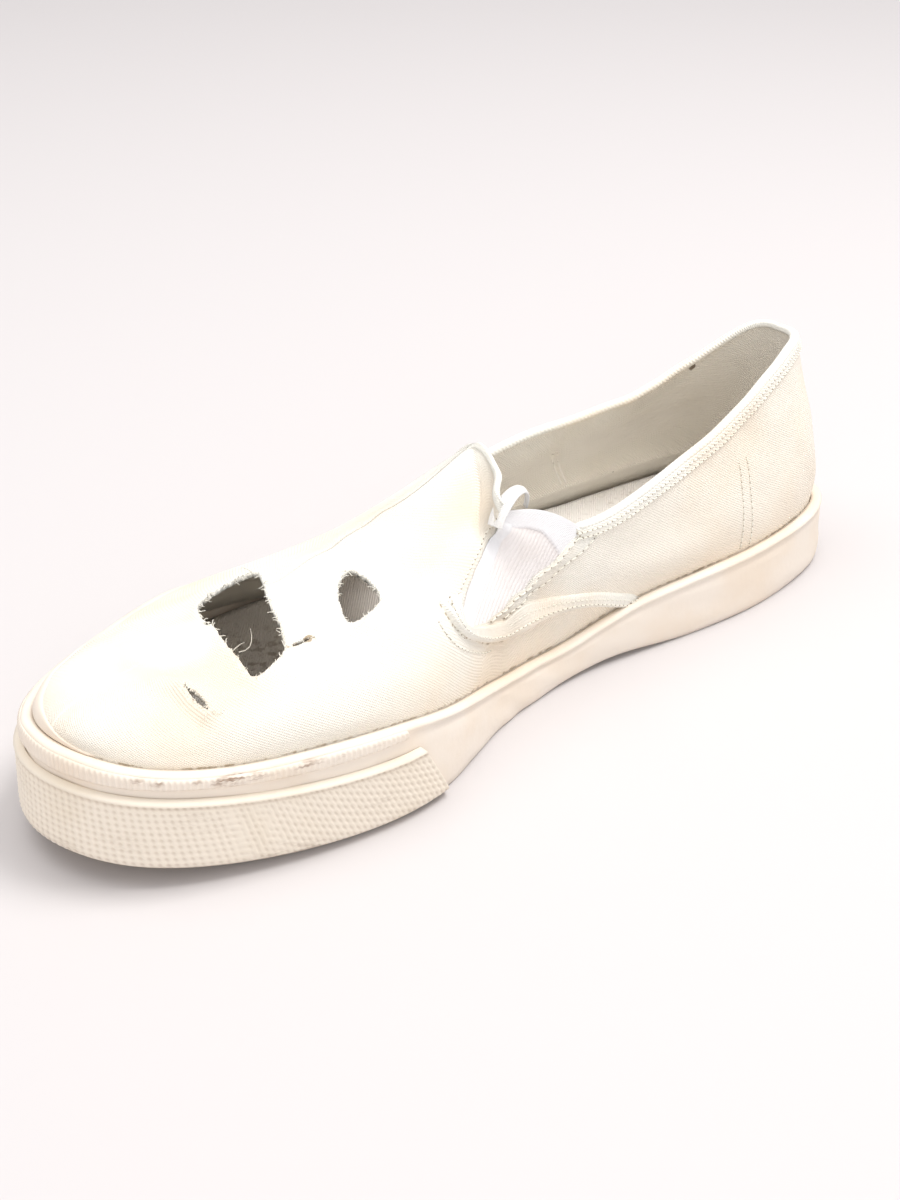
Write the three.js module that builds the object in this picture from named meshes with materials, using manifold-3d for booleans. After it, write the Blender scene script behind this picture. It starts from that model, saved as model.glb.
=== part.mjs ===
import * as THREE from 'three';
import { mergeVertices } from 'three/addons/utils/BufferGeometryUtils.js';
import Module from 'manifold-3d';

// A worn canvas slip-on sneaker for the right foot, standing empty on its sole.
// Millimetres. +X points to the toe, +Y to the inner side of the foot, +Z up. Z = 0 is the floor.

const wasm = await Module();
wasm.setup();

// Driving dimensions
const length = 289; // back of the heel to the tip of the sole
const ballWidth = 103.5; // across the sole at the ball of the foot
const heelHeight = 69; // floor to the collar at the back
const instepHeight = 68; // floor to the rear of the vamp
const wall = 1.8; // canvas and lining together
const gap = 0.3; // left between pieces that touch
const soleThickness = 8;
const insoleThickness = 5.5;
const insoleRoom = 1.6; // between the insole's edge and the wall of the upper
const hemGap = 0.9; // from the outsole up to the lower edge of the upper
const toeSpring = 6; // rise of the sole at the tip
const springStart = 205; // where the sole starts to rise, from the heel
const archRise = 1.5;
const archMiddle = 112;
const archHalf = 34;
const foxingThickness = 3;
const foxingLean = 0.9; // how far the top of the foxing leans in
const foxingFoot = 1.2; // how far its rounded lower edge turns in
const bumperProud = 1.9;
const stripProud = 0.8;
const origin = { x: 143.75, y: -3.02 }; // middle of the box, measured from the heel and the centre line

// Outline of the sole as stations round the shoe: along the length from the heel, and across from the
// centre line, both as shares of length and ball width.
const tip = [0.992, 0.029];
const heel = [-0.005, -0.008];
const innerOutline = [
  [0.978, 0.169], [0.941, 0.288], [0.877, 0.382], [0.797, 0.447], [0.714, 0.473], [0.641, 0.44],
  [0.576, 0.367], [0.533, 0.329], [0.491, 0.308], [0.42, 0.295], [0.317, 0.327], [0.185, 0.357],
  [0.06, 0.29], [0.009, 0.155],
];
const outerOutline = [
  [0.981, -0.11], [0.943, -0.243], [0.88, -0.358], [0.8, -0.449], [0.717, -0.522], [0.637, -0.527],
  [0.568, -0.509], [0.523, -0.491], [0.479, -0.471], [0.411, -0.441], [0.313, -0.411], [0.187, -0.37],
  [0.06, -0.31], [0.009, -0.17],
];
// Height of the foxing above the underside of the sole, from the tip to the heel
const foxingHeights = [29, 28.5, 27.5, 27.2, 27.8, 26.5, 21.9, 16.6, 13.8, 12.7, 12, 17.9, 20, 20, 20, 20];

// Ridge of the vamp, one row for each of the first stations: along, across, height, and the slope there
const ridge = [
  [0.851, 0, 0.65, -0.16], [0.848, 0, 0.652, -0.16], [0.834, -0.002, 0.662, -0.16], [0.8, -0.008, 0.685, -0.16],
  [0.741, -0.019, 0.724, -0.16], [0.665, -0.029, 0.779, -0.2], [0.575, -0.029, 0.868, -0.27],
  [0.474, -0.029, 1, -0.31],
];
const flap = ridge.length - 1; // the station where the vamp ends at the opening
// Edge of the opening behind the vamp: vamp corner, end of the elastic, collar, heel
const innerRim = [
  [0.495, 0.12, 0.965], [0.514, 0.217, 0.89], [0.436, 0.266, 0.703], [0.318, 0.266, 0.754],
  [0.201, 0.242, 0.877], [0.101, 0.188, 1.007], [0.033, 0.092, 1.022],
];
const outerRim = [
  [0.505, -0.1, 0.78], [0.535, -0.18, 0.6], [0.436, -0.29, 0.62], [0.315, -0.3, 0.681],
  [0.194, -0.275, 0.696], [0.09, -0.213, 0.812], [0.031, -0.106, 0.986],
];
const heelRim = [0.014, -0.01, 1];

// Fullness of the sections, in millimetres. At the foxing: how far out and up the section starts off.
const innerStart = [
  [0.5, 8.5], [0.5, 9], [0.8, 11], [1.2, 13], [1.5, 15], [2, 19.5], [3, 23], [3.5, 23], [3.5, 21], [3, 17.5],
  [3.5, 12.5], [3, 14], [4, 17], [4.5, 19],
];
const outerStart = [
  [0.3, 8], [0.3, 8], [0.3, 7.5], [0.3, 6], [0.3, 5], [0.3, 6.5], [0.4, 8.5], [0.8, 10.5], [1.5, 13.5],
  [3, 15.5], [3, 12.5], [3, 13], [4, 17], [4.5, 19],
];
const tipStart = [0.5, 8];
const heelStart = [4.5, 20];
// On the ridge: how far forward, and how far out to either side, the section runs in.
const ridgeForward = [16, 14, 10, 6, 5, 6, 9, 14];
const innerSide = [0, 7, 14, 20, 23, 25, 22, 16];
const outerSide = [0, 7, 11, 9, 4, 1, 0.5, 1];
// On the rim: forward, outward and upward parts of the same.
const innerEnd = [[13, 8, -7], [6, 5, -13], [0, 2.5, -11], [0, 2.5, -12], [0, 3.5, -15], [0, 3, -18], [0, 3, -18]];
const outerEnd = [[12, 6, -8], [5, 5, -11], [0, 2.5, -10], [0, 2.5, -12], [0, 3.5, -12], [0, 3, -15], [0, 3, -18]];
const heelEnd = [0, 2.5, -19];

// Elastic gore as a patch of the surface: station and share of the way up, for the inner side
const goreOutline = [
  [9.42, 1], [9.7, 1], [10, 1], [10, 0.9], [9.64, 0.67], [9.05, 0.44], [7.97, 0.305], [7.16, 0.257],
  [6.65, 0.276], [6.45, 0.345], [6.58, 0.42], [6.9, 0.482], [7.76, 0.605], [8.6, 0.75], [9.16, 0.88],
];
const goreMiddle = [8.6, 0.62];
const goreThickness = 1.2;

// Holes worn through the vamp, seen from above: along from the heel, across from the centre line
const largeHole = [
  [208, -13], [212, -15.5], [220, -15], [226, -12], [230, -7.5], [232, 0], [233, 8], [235.5, 14], [236.5, 22],
  [235, 26], [228, 23.5], [224, 20], [220.5, 12], [216, 4], [211, -5],
];
const smallHole = [
  [192, 10], [195, 9.5], [200, 13], [203, 18], [205.5, 25], [199, 25.5], [194, 23.5], [191.5, 18],
];

const stationCount = 2 * innerOutline.length + 2;
const turns = 3; // rows round the shoe for each station

// Natural cubic curve through equally spaced rows of numbers.
function curveThrough(rows) {
  const last = rows.length - 1;
  const factor = [0];
  const bend = rows.map((row) => row.map(() => 0));
  for (let i = 1; i < last; i += 1) {
    const pivot = 4 - factor[i - 1];
    factor.push(1 / pivot);
    bend[i] = rows[i].map((y, c) => (6 * (rows[i - 1][c] - 2 * y + rows[i + 1][c]) - bend[i - 1][c]) / pivot);
  }
  for (let i = last - 1; i > 0; i -= 1) {
    bend[i] = bend[i].map((b, c) => b - factor[i] * bend[i + 1][c]);
  }
  return (u) => {
    const i = Math.min(Math.max(Math.floor(u), 0), last - 1);
    const t = u - i;
    const s = 1 - t;
    return rows[i].map((y, c) => s * y + t * rows[i + 1][c]
      + ((s ** 3 - s) * bend[i][c] + (t ** 3 - t) * bend[i + 1][c]) / 6);
  };
}

// The same round a closed ring of rows: three rounds are joined and the middle one is used.
function ringThrough(rows) {
  const curve = curveThrough([...rows, ...rows, ...rows]);
  return (u) => curve(THREE.MathUtils.euclideanModulo(u, rows.length) + rows.length);
}

function wrap(u) {
  return THREE.MathUtils.euclideanModulo(u, stationCount);
}

// Rows from the tip down the inner side, round the heel and back up the outer side.
function aroundShoe(tipRow, innerRows, heelRow, outerRows) {
  return [tipRow, ...innerRows, heelRow, ...[...outerRows].reverse()];
}

const inPlan = ([along, across]) => [along * length, across * ballWidth];
const inSpace = (tall) => ([along, across, up]) => [along * length, across * ballWidth, up * tall];

const outlineAt = ringThrough(aroundShoe(tip, innerOutline, heel, outerOutline).map(inPlan));
const foxingRows = foxingHeights.map((h) => [h]);
const foxingAt = ringThrough([...foxingRows, ...foxingRows.slice(1, -1).reverse()]);
const startAt = ringThrough(aroundShoe(tipStart, innerStart, heelStart, outerStart));
const ridgeRows = ridge.map(([x, y, z, slope]) => [x * length, y * ballWidth, z * instepHeight, slope]);
const ridgeAt = curveThrough([...[...ridgeRows].reverse(), ...ridgeRows.slice(1)]);
const forwardRows = ridgeForward.map((forward, i) => [forward, innerSide[i]]);
const backRows = ridgeForward.map((forward, i) => [forward, -outerSide[i]]);
const ridgeHandleAt = curveThrough([...[...backRows].reverse(), ...forwardRows.slice(1)]);
const flapPoint = ridgeRows[flap].slice(0, 3);
const rimRows = [...innerRim, heelRim, ...[...outerRim].reverse()].map(inSpace(heelHeight));
const rimAt = ringThrough([flapPoint, ...rimRows]);
const flapDrop = ridgeForward[flap] * ridge[flap][3];
const rimHandleAt = curveThrough([
  [ridgeForward[flap], innerSide[flap], flapDrop], ...innerEnd, heelEnd, ...[...outerEnd].reverse(),
  [ridgeForward[flap], outerSide[flap], flapDrop],
]);

// Underside of the sole: flat under heel and ball, a low arch between, and the toe spring.
function lift(x) {
  const spring = Math.max(x - springStart, 0) / (length - 3 - springStart);
  const arch = Math.min(Math.abs(x - archMiddle) / archHalf, 1);
  return toeSpring * spring ** 2 + archRise * (1 - arch * arch * (3 - 2 * arch));
}

// Unit direction out of the outline, seen from above.
function outward(u) {
  const step = 0.001;
  const [ax, ay] = outlineAt(u - step);
  const [bx, by] = outlineAt(u + step);
  const size = Math.hypot(bx - ax, by - ay);
  return [(by - ay) / size, (ax - bx) / size];
}

// A point of the sole's side, inset from the outline, at a height above the underside.
function soleSide(u, inset, height) {
  const [x, y] = outlineAt(u);
  const [nx, ny] = outward(u);
  return new THREE.Vector3(x - nx * inset, y - ny * inset, lift(x) + height);
}

// Outer face of the foxing: rounded in at the foot, leaning in a little towards the top.
function foxingInset(u, height) {
  const foot = Math.max(1 - height / 5, 0);
  return foxingFoot * foot ** 2 + foxingLean * (height / foxingAt(u)[0]);
}

// The four control points of the section at a station: foxing, start, end and rim or ridge.
function sectionAt(station) {
  const u = wrap(station);
  const signed = u > stationCount / 2 ? u - stationCount : u;
  const [nx, ny] = outward(u);
  const base = soleSide(u, foxingThickness + gap + foxingLean, foxingAt(u)[0]);
  const [startOut, startUp] = startAt(u);
  const start = base.clone().add(new THREE.Vector3(nx * startOut, ny * startOut, startUp));
  if (Math.abs(signed) <= flap) {
    const [x, y, z, slope] = ridgeAt(signed + flap);
    const [forward, side] = ridgeHandleAt(signed + flap);
    const top = new THREE.Vector3(x, y, z);
    return [base, start, top.clone().add(new THREE.Vector3(forward, side, forward * slope)), top];
  }
  const top = new THREE.Vector3(...rimAt(u - flap));
  const [forward, out, up] = rimHandleAt(u - flap);
  const blend = THREE.MathUtils.smoothstep(Math.abs(signed) - flap, 0, 1);
  const across = (1 - blend) * Math.sign(signed) + blend * ny;
  const end = top.clone().add(new THREE.Vector3(forward + blend * nx * out, across * out, up));
  return [base, start, end, top];
}

// Outer face of the upper. From v = -1 to 0 it stands behind the foxing, from 0 to 1 it rises to the rim.
function upperPoint(u, v) {
  if (v < 0) {
    const low = soleSide(u, foxingThickness + gap, soleThickness + hemGap);
    return low.lerp(sectionAt(u)[0], 1 + v);
  }
  const [a, b, c, d] = sectionAt(u);
  const s = 1 - v;
  return a.multiplyScalar(s ** 3).addScaledVector(b, 3 * s * s * v).addScaledVector(c, 3 * s * v * v)
    .addScaledVector(d, v ** 3);
}

// Outward direction of that face. Near the ridge, where the two sides meet, it is taken just short of it.
function upperNormal(u, v) {
  const step = 0.01;
  const height = Math.min(v, 0.96);
  const along = upperPoint(u + step, height).sub(upperPoint(u - step, height));
  const up = upperPoint(u, height + step).sub(upperPoint(u, height - step));
  return along.cross(up).normalize();
}

// A point at a distance outside (positive) or inside (negative) the upper's outer face.
function offUpper(u, v, distance) {
  const signed = wrap(u) > stationCount / 2 ? wrap(u) - stationCount : wrap(u);
  const normal = upperNormal(u, v);
  if (v >= 1 && Math.abs(signed) <= flap) {
    normal.add(upperNormal(-signed, v)).normalize();
    return upperPoint(Math.abs(signed), 1).addScaledVector(normal, distance);
  }
  const point = upperPoint(u, Math.min(v, 1)).addScaledVector(normal, distance);
  const rise = sectionAt(u);
  return point.addScaledVector(rise[3].sub(rise[2]).normalize(), Math.max(v - 1, 0) * 100);
}

// A closed mesh from a list of points and a list of triangles.
function bodyFrom(points, faces) {
  const geometry = new THREE.BufferGeometry();
  const values = points.flatMap((p) => [p.x - origin.x, p.y - origin.y, p.z]);
  geometry.setAttribute('position', new THREE.Float32BufferAttribute(values, 3));
  geometry.setIndex(faces.flat());
  return dropFlat(mergeVertices(geometry, 1e-4));
}

// Triangles with two corners alike are left out.
function dropFlat(geometry) {
  const index = geometry.index.array;
  const kept = [];
  for (let i = 0; i < index.length; i += 3) {
    const [a, b, c] = [index[i], index[i + 1], index[i + 2]];
    if (a !== b && b !== c && c !== a) kept.push(a, b, c);
  }
  geometry.setIndex(kept);
  return geometry;
}

// Two facing sheets of rows and columns, closed along the borders asked for.
// sheet(i, j, side) gives a point, side 0 for the outer sheet and 1 for the inner one.
function slab(rows, columns, sheet, closed, topOpen = () => true) {
  const points = [];
  const wide = closed ? rows : rows + 1;
  for (let side = 0; side < 2; side += 1) {
    for (let i = 0; i < wide; i += 1) {
      for (let j = 0; j <= columns; j += 1) points.push(sheet(i, j, side));
    }
  }
  const at = (i, j, side) => side * wide * (columns + 1) + (i % wide) * (columns + 1) + j;
  const faces = [];
  const quad = (a, b, c, d) => faces.push([a, b, c], [a, c, d]);
  for (let i = 0; i < rows; i += 1) {
    for (let j = 0; j < columns; j += 1) {
      quad(at(i, j, 0), at(i + 1, j, 0), at(i + 1, j + 1, 0), at(i, j + 1, 0));
      quad(at(i, j, 1), at(i, j + 1, 1), at(i + 1, j + 1, 1), at(i + 1, j, 1));
    }
    quad(at(i, 0, 0), at(i, 0, 1), at(i + 1, 0, 1), at(i + 1, 0, 0));
    if (topOpen(i)) quad(at(i, columns, 0), at(i + 1, columns, 0), at(i + 1, columns, 1), at(i, columns, 1));
  }
  if (!closed) {
    for (let j = 0; j < columns; j += 1) {
      quad(at(0, j, 0), at(0, j + 1, 0), at(0, j + 1, 1), at(0, j, 1));
      quad(at(rows, j, 0), at(rows, j, 1), at(rows, j + 1, 1), at(rows, j + 1, 0));
    }
  }
  return bodyFrom(points, faces);
}

// A plate across the shoe in rungs from the tip to the heel, between two heights above the underside.
function plate(inset, low, high, across) {
  const rungs = (stationCount / 2) * turns;
  const point = (i, j, side) => {
    const u = i / turns;
    const inner = soleSide(u, inset, side ? low : high);
    const outer = soleSide(-u, inset, side ? low : high);
    const mixed = inner.lerp(outer, j / across);
    mixed.z = lift(mixed.x) + (side ? low : high);
    return mixed;
  };
  return slab(rungs, across, point, false);
}

// A closed patch over an outline of the surface: rings drawn in towards the middle on both faces.
function patch(outline, middle, rings, place) {
  const count = outline.length;
  const points = [];
  const spots = [];
  for (let side = 0; side < 2; side += 1) {
    for (let r = 1; r <= rings; r += 1) {
      for (const corner of outline) {
        points.push(place(middle.map((m, c) => m + (corner[c] - m) * (r / rings)), side));
      }
    }
    spots.push(place(middle, side));
  }
  const at = (i, r, side) => (side * rings + r) * count + (i % count);
  const hub = [points.length, points.length + 1];
  points.push(...spots);
  const faces = [];
  const quad = (a, b, c, d) => faces.push([a, b, c], [a, c, d]);
  for (let i = 0; i < count; i += 1) {
    for (let r = 0; r < rings - 1; r += 1) {
      quad(at(i, r, 0), at(i, r + 1, 0), at(i + 1, r + 1, 0), at(i + 1, r, 0));
      quad(at(i, r, 1), at(i + 1, r, 1), at(i + 1, r + 1, 1), at(i, r + 1, 1));
    }
    faces.push([hub[0], at(i, 0, 0), at(i + 1, 0, 0)], [hub[1], at(i + 1, 0, 1), at(i, 0, 1)]);
    quad(at(i, rings - 1, 0), at(i, rings - 1, 1), at(i + 1, rings - 1, 1), at(i + 1, rings - 1, 0));
  }
  return bodyFrom(points, faces);
}

function toSolid(geometry) {
  return new wasm.Manifold(new wasm.Mesh({
    numProp: 3,
    vertProperties: new Float32Array(geometry.attributes.position.array),
    triVerts: new Uint32Array(geometry.index.array),
  }));
}

function toGeometry(solid) {
  const mesh = solid.getMesh();
  const geometry = new THREE.BufferGeometry();
  geometry.setAttribute('position', new THREE.BufferAttribute(mesh.vertProperties, 3));
  geometry.setIndex(new THREE.BufferAttribute(mesh.triVerts, 1));
  return geometry;
}

// The outline of one side's gore, spread by a distance in millimetres; the outer side is its mirror.
function goreShape(side, spread) {
  const scale = [14, 42]; // millimetres for one station, and for the way from foxing to rim
  const count = goreOutline.length;
  const grown = goreOutline.map(([u, v], i) => {
    const before = goreOutline[(i + count - 1) % count];
    const after = goreOutline[(i + 1) % count];
    const alongU = (after[0] - before[0]) * scale[0];
    const alongV = (after[1] - before[1]) * scale[1];
    const size = Math.hypot(alongU, alongV);
    const open = v === 1 && spread > 0 ? 0.03 : 0;
    return [u - (alongV / size) * (spread / scale[0]), v + (alongU / size) * (spread / scale[1]) + open];
  });
  return side > 0 ? grown.reverse() : grown.map(([u, v]) => [stationCount - u, v]);
}

function gorePatch(side, spread, outer, inner) {
  const middle = side > 0 ? goreMiddle : [stationCount - goreMiddle[0], goreMiddle[1]];
  return patch(goreShape(side, spread), middle, 4, ([u, v], face) => offUpper(u, v, face ? inner : outer));
}

// A column through the vamp with the outline of a hole.
function holeColumn(outline) {
  const floor = 35;
  const top = 80;
  const turned = THREE.ShapeUtils.area(outline.map(([x, y]) => new THREE.Vector2(x, y))) > 0;
  const outlineUp = turned ? outline : [...outline].reverse();
  const middle = [0, 1].map((c) => outline.reduce((sum, p) => sum + p[c], 0) / outline.length);
  return patch(outlineUp, middle, 1, ([x, y], face) => new THREE.Vector3(x, y, face ? floor : top));
}

function makeUpper() {
  const rows = stationCount * turns;
  const levels = [-1, 0, 0.08, 0.17, 0.26, 0.36, 0.46, 0.56, 0.66, 0.76, 0.86, 0.93, 1];
  const shell = slab(
    rows,
    levels.length - 1,
    (i, j, side) => offUpper(i / turns, levels[j], side ? -wall : 0),
    true,
    (i) => i >= flap * turns && i < rows - flap * turns,
  );
  const cutDepth = 3;
  const cut = [
    gorePatch(1, gap, cutDepth, -cutDepth),
    gorePatch(-1, gap, cutDepth, -cutDepth),
    holeColumn(largeHole),
    holeColumn(smallHole),
  ].reduce((solid, cutter) => solid.subtract(toSolid(cutter)), toSolid(shell));
  return cut.decompose().reduce((most, piece) => (piece.volume() > most.volume() ? piece : most));
}

function makeGore(side) {
  const sunk = (wall - goreThickness) / 2;
  return gorePatch(side, -1.6 * gap, -sunk, -sunk - goreThickness);
}

// The band round the sole, leaning in, with a rounded foot and top.
function makeFoxing() {
  const foot = 0.4;
  const edge = 1.2;
  const heights = (h) => [foot, 2.2, 5, h - edge, h, h];
  const sunk = [0, 0, 0, 0, 0.9, foxingThickness - foxingLean * 0.3];
  const innerFace = (h, j) => {
    if (j === 0) return [foxingThickness, foot];
    const share = (j - 1) / (sunk.length - 2);
    return [foxingThickness + foxingLean * share, THREE.MathUtils.lerp(soleThickness + gap, h, share)];
  };
  const section = (u, j, side) => {
    const [tall] = foxingAt(u);
    if (side) return soleSide(u, ...innerFace(tall, j));
    const height = heights(tall)[j];
    return soleSide(u, foxingInset(u, height) + sunk[j], height);
  };
  return slab(stationCount * turns, sunk.length - 1, (i, j, side) => section(i / turns, j, side), true);
}

// A band laid over the foxing round the toe, from one station to the other, between two heights.
function toeBand(fromOuter, toInner, slant, low, highAt, proud, columns) {
  const rows = 62;
  const point = (i, j, side) => {
    const share = j / columns;
    const ends = slant * (1 - share);
    const u = THREE.MathUtils.lerp(fromOuter - ends, toInner + ends, i / rows);
    const height = low + (highAt(u) - low) * share;
    const rounded = !side && j === columns ? proud * 0.5 : 0;
    return soleSide(u, foxingInset(u, height) - gap * 1.3 - (side ? 0 : proud - rounded), height);
  };
  return slab(rows, columns, point, false);
}

// Height of the bumper above the underside: a little more at the tip than at its ends.
function bumperTop(u) {
  const turn = Math.min(Math.abs(u) / 5, 1);
  return 21.5 - 2.5 * turn * turn;
}

// The outsole with bars cut across its underside, clear of a plain border.
function makeOutsole() {
  const inset = foxingThickness + gap;
  const body = toSolid(plate(inset, 0, soleThickness, 4));
  const depth = 1.6;
  const border = 9;
  const grooveWidth = 2.6;
  const pitch = 12;
  const grooves = [];
  for (let x = 18; x < length - 16; x += pitch) {
    if (x > 84 && x < 142) continue;
    const halfWay = crossing(x, border + inset);
    const shape = new THREE.BoxGeometry(grooveWidth, halfWay[0] - halfWay[1], 6);
    shape.translate(x - origin.x, (halfWay[0] + halfWay[1]) / 2 - origin.y, lift(x) + depth - 3);
    shape.deleteAttribute('normal');
    shape.deleteAttribute('uv');
    grooves.push(toSolid(mergeVertices(shape)));
  }
  return grooves.reduce((solid, groove) => solid.subtract(groove), body);
}

// The inner and outer reach of the sole at a distance from the heel, drawn in by a border.
function crossing(x, border) {
  const reach = [0, 0];
  for (let u = 0.5; u < stationCount / 2; u += 0.05) {
    const inner = outlineAt(u);
    const outer = outlineAt(-u);
    if (Math.abs(inner[0] - x) < 2) reach[0] = inner[1] - border;
    if (Math.abs(outer[0] - x) < 2) reach[1] = outer[1] + border;
  }
  return reach;
}

function makeInsole() {
  const inset = foxingThickness + gap + wall + insoleRoom;
  const low = soleThickness + gap;
  return plate(inset, low, low + insoleThickness, 4);
}

const canvas = { color: 0xf3edd9, roughness: 0.9, metalness: 0 };
const rubber = { color: 0xeadfce, roughness: 0.65, metalness: 0 };
const elastic = { color: 0xf1ece4, roughness: 0.85, metalness: 0 };
const lining = { color: 0xd9d2c6, roughness: 0.95, metalness: 0 };

function named(name, geometry, finish) {
  const mesh = new THREE.Mesh(geometry, new THREE.MeshStandardMaterial(finish));
  mesh.name = name;
  return mesh;
}

const shoe = new THREE.Group();
shoe.add(
  named('outsole', toGeometry(makeOutsole()), rubber),
  named('foxing', makeFoxing(), rubber),
  named('toe_bumper', toeBand(-5.2, 5.2, 0.45, 1, bumperTop, bumperProud, 3), rubber),
  named('toe_strip', toeBand(-5, 5, 0, 22.2, (u) => foxingAt(u)[0] - 1.6, stripProud, 2), rubber),
  named('insole', makeInsole(), lining),
  named('upper', toGeometry(makeUpper()), canvas),
  named('gore_inner', makeGore(1), elastic),
  named('gore_outer', makeGore(-1), elastic),
);

export default shoe;
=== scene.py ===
# Worn canvas slip-on sneaker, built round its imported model.
# Shapes are worked out in millimetres in the shoe's own frame: x from the heel, y from the centre line,
# z from the floor. place() takes them to the scene's metres.
import bpy
import numpy as np
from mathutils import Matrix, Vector


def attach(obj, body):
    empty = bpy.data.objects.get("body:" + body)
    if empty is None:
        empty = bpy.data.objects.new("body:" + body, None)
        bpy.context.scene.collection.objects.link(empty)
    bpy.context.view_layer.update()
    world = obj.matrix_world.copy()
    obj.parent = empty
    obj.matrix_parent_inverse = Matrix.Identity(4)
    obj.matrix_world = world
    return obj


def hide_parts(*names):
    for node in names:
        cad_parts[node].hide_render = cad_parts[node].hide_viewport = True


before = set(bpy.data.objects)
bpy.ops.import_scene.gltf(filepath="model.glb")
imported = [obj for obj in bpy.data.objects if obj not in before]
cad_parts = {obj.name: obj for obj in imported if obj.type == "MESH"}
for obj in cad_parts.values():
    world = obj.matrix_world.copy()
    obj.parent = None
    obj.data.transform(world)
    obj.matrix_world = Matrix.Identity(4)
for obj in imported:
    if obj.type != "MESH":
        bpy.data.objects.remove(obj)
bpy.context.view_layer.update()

last = dict(
    length=289, ballWidth=103.5, heelHeight=69, instepHeight=68, gap=0.3, hemGap=0.9, soleThickness=8,
    toeSpring=6, springStart=205, archRise=1.5, archMiddle=112, archHalf=34,
    foxingThickness=3, foxingLean=0.9, foxingFoot=1.2,
    originX=143.75, originY=-3.02,
    # outline of the sole, along and across, as shares of length and ball width
    tip=[0.992, 0.029], heel=[-0.005, -0.008],
    innerOutline=[
        [0.978, 0.169], [0.941, 0.288], [0.877, 0.382], [0.797, 0.447], [0.714, 0.473], [0.641, 0.44],
        [0.576, 0.367], [0.533, 0.329], [0.491, 0.308], [0.42, 0.295], [0.317, 0.327], [0.185, 0.357],
        [0.06, 0.29], [0.009, 0.155]],
    outerOutline=[
        [0.981, -0.11], [0.943, -0.243], [0.88, -0.358], [0.8, -0.449], [0.717, -0.522], [0.637, -0.527],
        [0.568, -0.509], [0.523, -0.491], [0.479, -0.471], [0.411, -0.441], [0.313, -0.411], [0.187, -0.37],
        [0.06, -0.31], [0.009, -0.17]],
    foxingHeights=[29, 28.5, 27.5, 27.2, 27.8, 26.5, 21.9, 16.6, 13.8, 12.7, 12, 17.9, 20, 20, 20, 20],
    # ridge of the vamp: along, across, height, slope
    ridge=[
        [0.851, 0, 0.65, -0.16], [0.848, 0, 0.652, -0.16], [0.834, -0.002, 0.662, -0.16],
        [0.8, -0.008, 0.685, -0.16], [0.741, -0.019, 0.724, -0.16], [0.665, -0.029, 0.779, -0.2],
        [0.575, -0.029, 0.868, -0.27], [0.474, -0.029, 1, -0.31]],
    innerRim=[
        [0.495, 0.12, 0.965], [0.514, 0.217, 0.89], [0.436, 0.266, 0.703], [0.318, 0.266, 0.754],
        [0.201, 0.242, 0.877], [0.101, 0.188, 1.007], [0.033, 0.092, 1.022]],
    outerRim=[
        [0.505, -0.1, 0.78], [0.535, -0.18, 0.6], [0.436, -0.29, 0.62], [0.315, -0.3, 0.681],
        [0.194, -0.275, 0.696], [0.09, -0.213, 0.812], [0.031, -0.106, 0.986]],
    heelRim=[0.014, -0.01, 1],
    # how the sections leave the foxing, and how they come in on the ridge and the rim, in millimetres
    innerStart=[
        [0.5, 8.5], [0.5, 9], [0.8, 11], [1.2, 13], [1.5, 15], [2, 19.5], [3, 23], [3.5, 23], [3.5, 21],
        [3, 17.5], [3.5, 12.5], [3, 14], [4, 17], [4.5, 19]],
    outerStart=[
        [0.3, 8], [0.3, 8], [0.3, 7.5], [0.3, 6], [0.3, 5], [0.3, 6.5], [0.4, 8.5], [0.8, 10.5], [1.5, 13.5],
        [3, 15.5], [3, 12.5], [3, 13], [4, 17], [4.5, 19]],
    tipStart=[0.5, 8], heelStart=[4.5, 20],
    ridgeForward=[16, 14, 10, 6, 5, 6, 9, 14],
    innerSide=[0, 7, 14, 20, 23, 25, 22, 16], outerSide=[0, 7, 11, 9, 4, 1, 0.5, 1],
    innerEnd=[[13, 8, -7], [6, 5, -13], [0, 2.5, -11], [0, 2.5, -12], [0, 3.5, -15], [0, 3, -18], [0, 3, -18]],
    outerEnd=[[12, 6, -8], [5, 5, -11], [0, 2.5, -10], [0, 2.5, -12], [0, 3.5, -12], [0, 3, -15], [0, 3, -18]],
    heelEnd=[0, 2.5, -19],
)
stations = 2 * len(last["innerOutline"]) + 2
half = stations / 2
flap = len(last["ridge"]) - 1
# millimetres that one station and the whole way up stand for, in measures on the unrolled surface
stationWidth, wayUp = 14.0, 42.0


def smooth(x):  # 3x^2 - 2x^3, held between 0 and 1
    x = np.clip(x, 0, 1)
    return x * x * (3 - 2 * x)


def naturalCurve(rows):  # cubic pieces through equally spaced rows, with no bend at both ends
    rows = np.asarray(rows, float)
    count = len(rows)
    system, wanted = np.eye(count), np.zeros_like(rows)
    inner = np.arange(1, count - 1)
    system[inner, inner - 1], system[inner, inner], system[inner, inner + 1] = 1, 4, 1
    wanted[inner] = 6 * (rows[inner - 1] - 2 * rows[inner] + rows[inner + 1])
    bend = np.linalg.solve(system, wanted)

    def at(u):
        u = np.asarray(u, float)
        i = np.clip(np.floor(u).astype(int), 0, count - 2)
        t = (u - i)[..., None]
        s = 1 - t
        return s * rows[i] + t * rows[i + 1] + ((s ** 3 - s) * bend[i] + (t ** 3 - t) * bend[i + 1]) / 6
    return at


def ringCurve(rows):  # the same round a ring: three rounds joined, the middle one used
    rows = np.asarray(rows, float)
    curve = naturalCurve(np.concatenate([rows, rows, rows]))
    return lambda u: curve(np.mod(u, len(rows)) + len(rows))


def around(tipRow, inner, heelRow, outer):  # rows of one ring: tip, inner side, heel, outer side reversed
    return np.array([tipRow] + inner + [heelRow] + outer[::-1], float)


def mirrored(inner, outer):  # rows of one side turned round, then the other side's
    return outer[::-1] + inner[1:]


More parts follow.
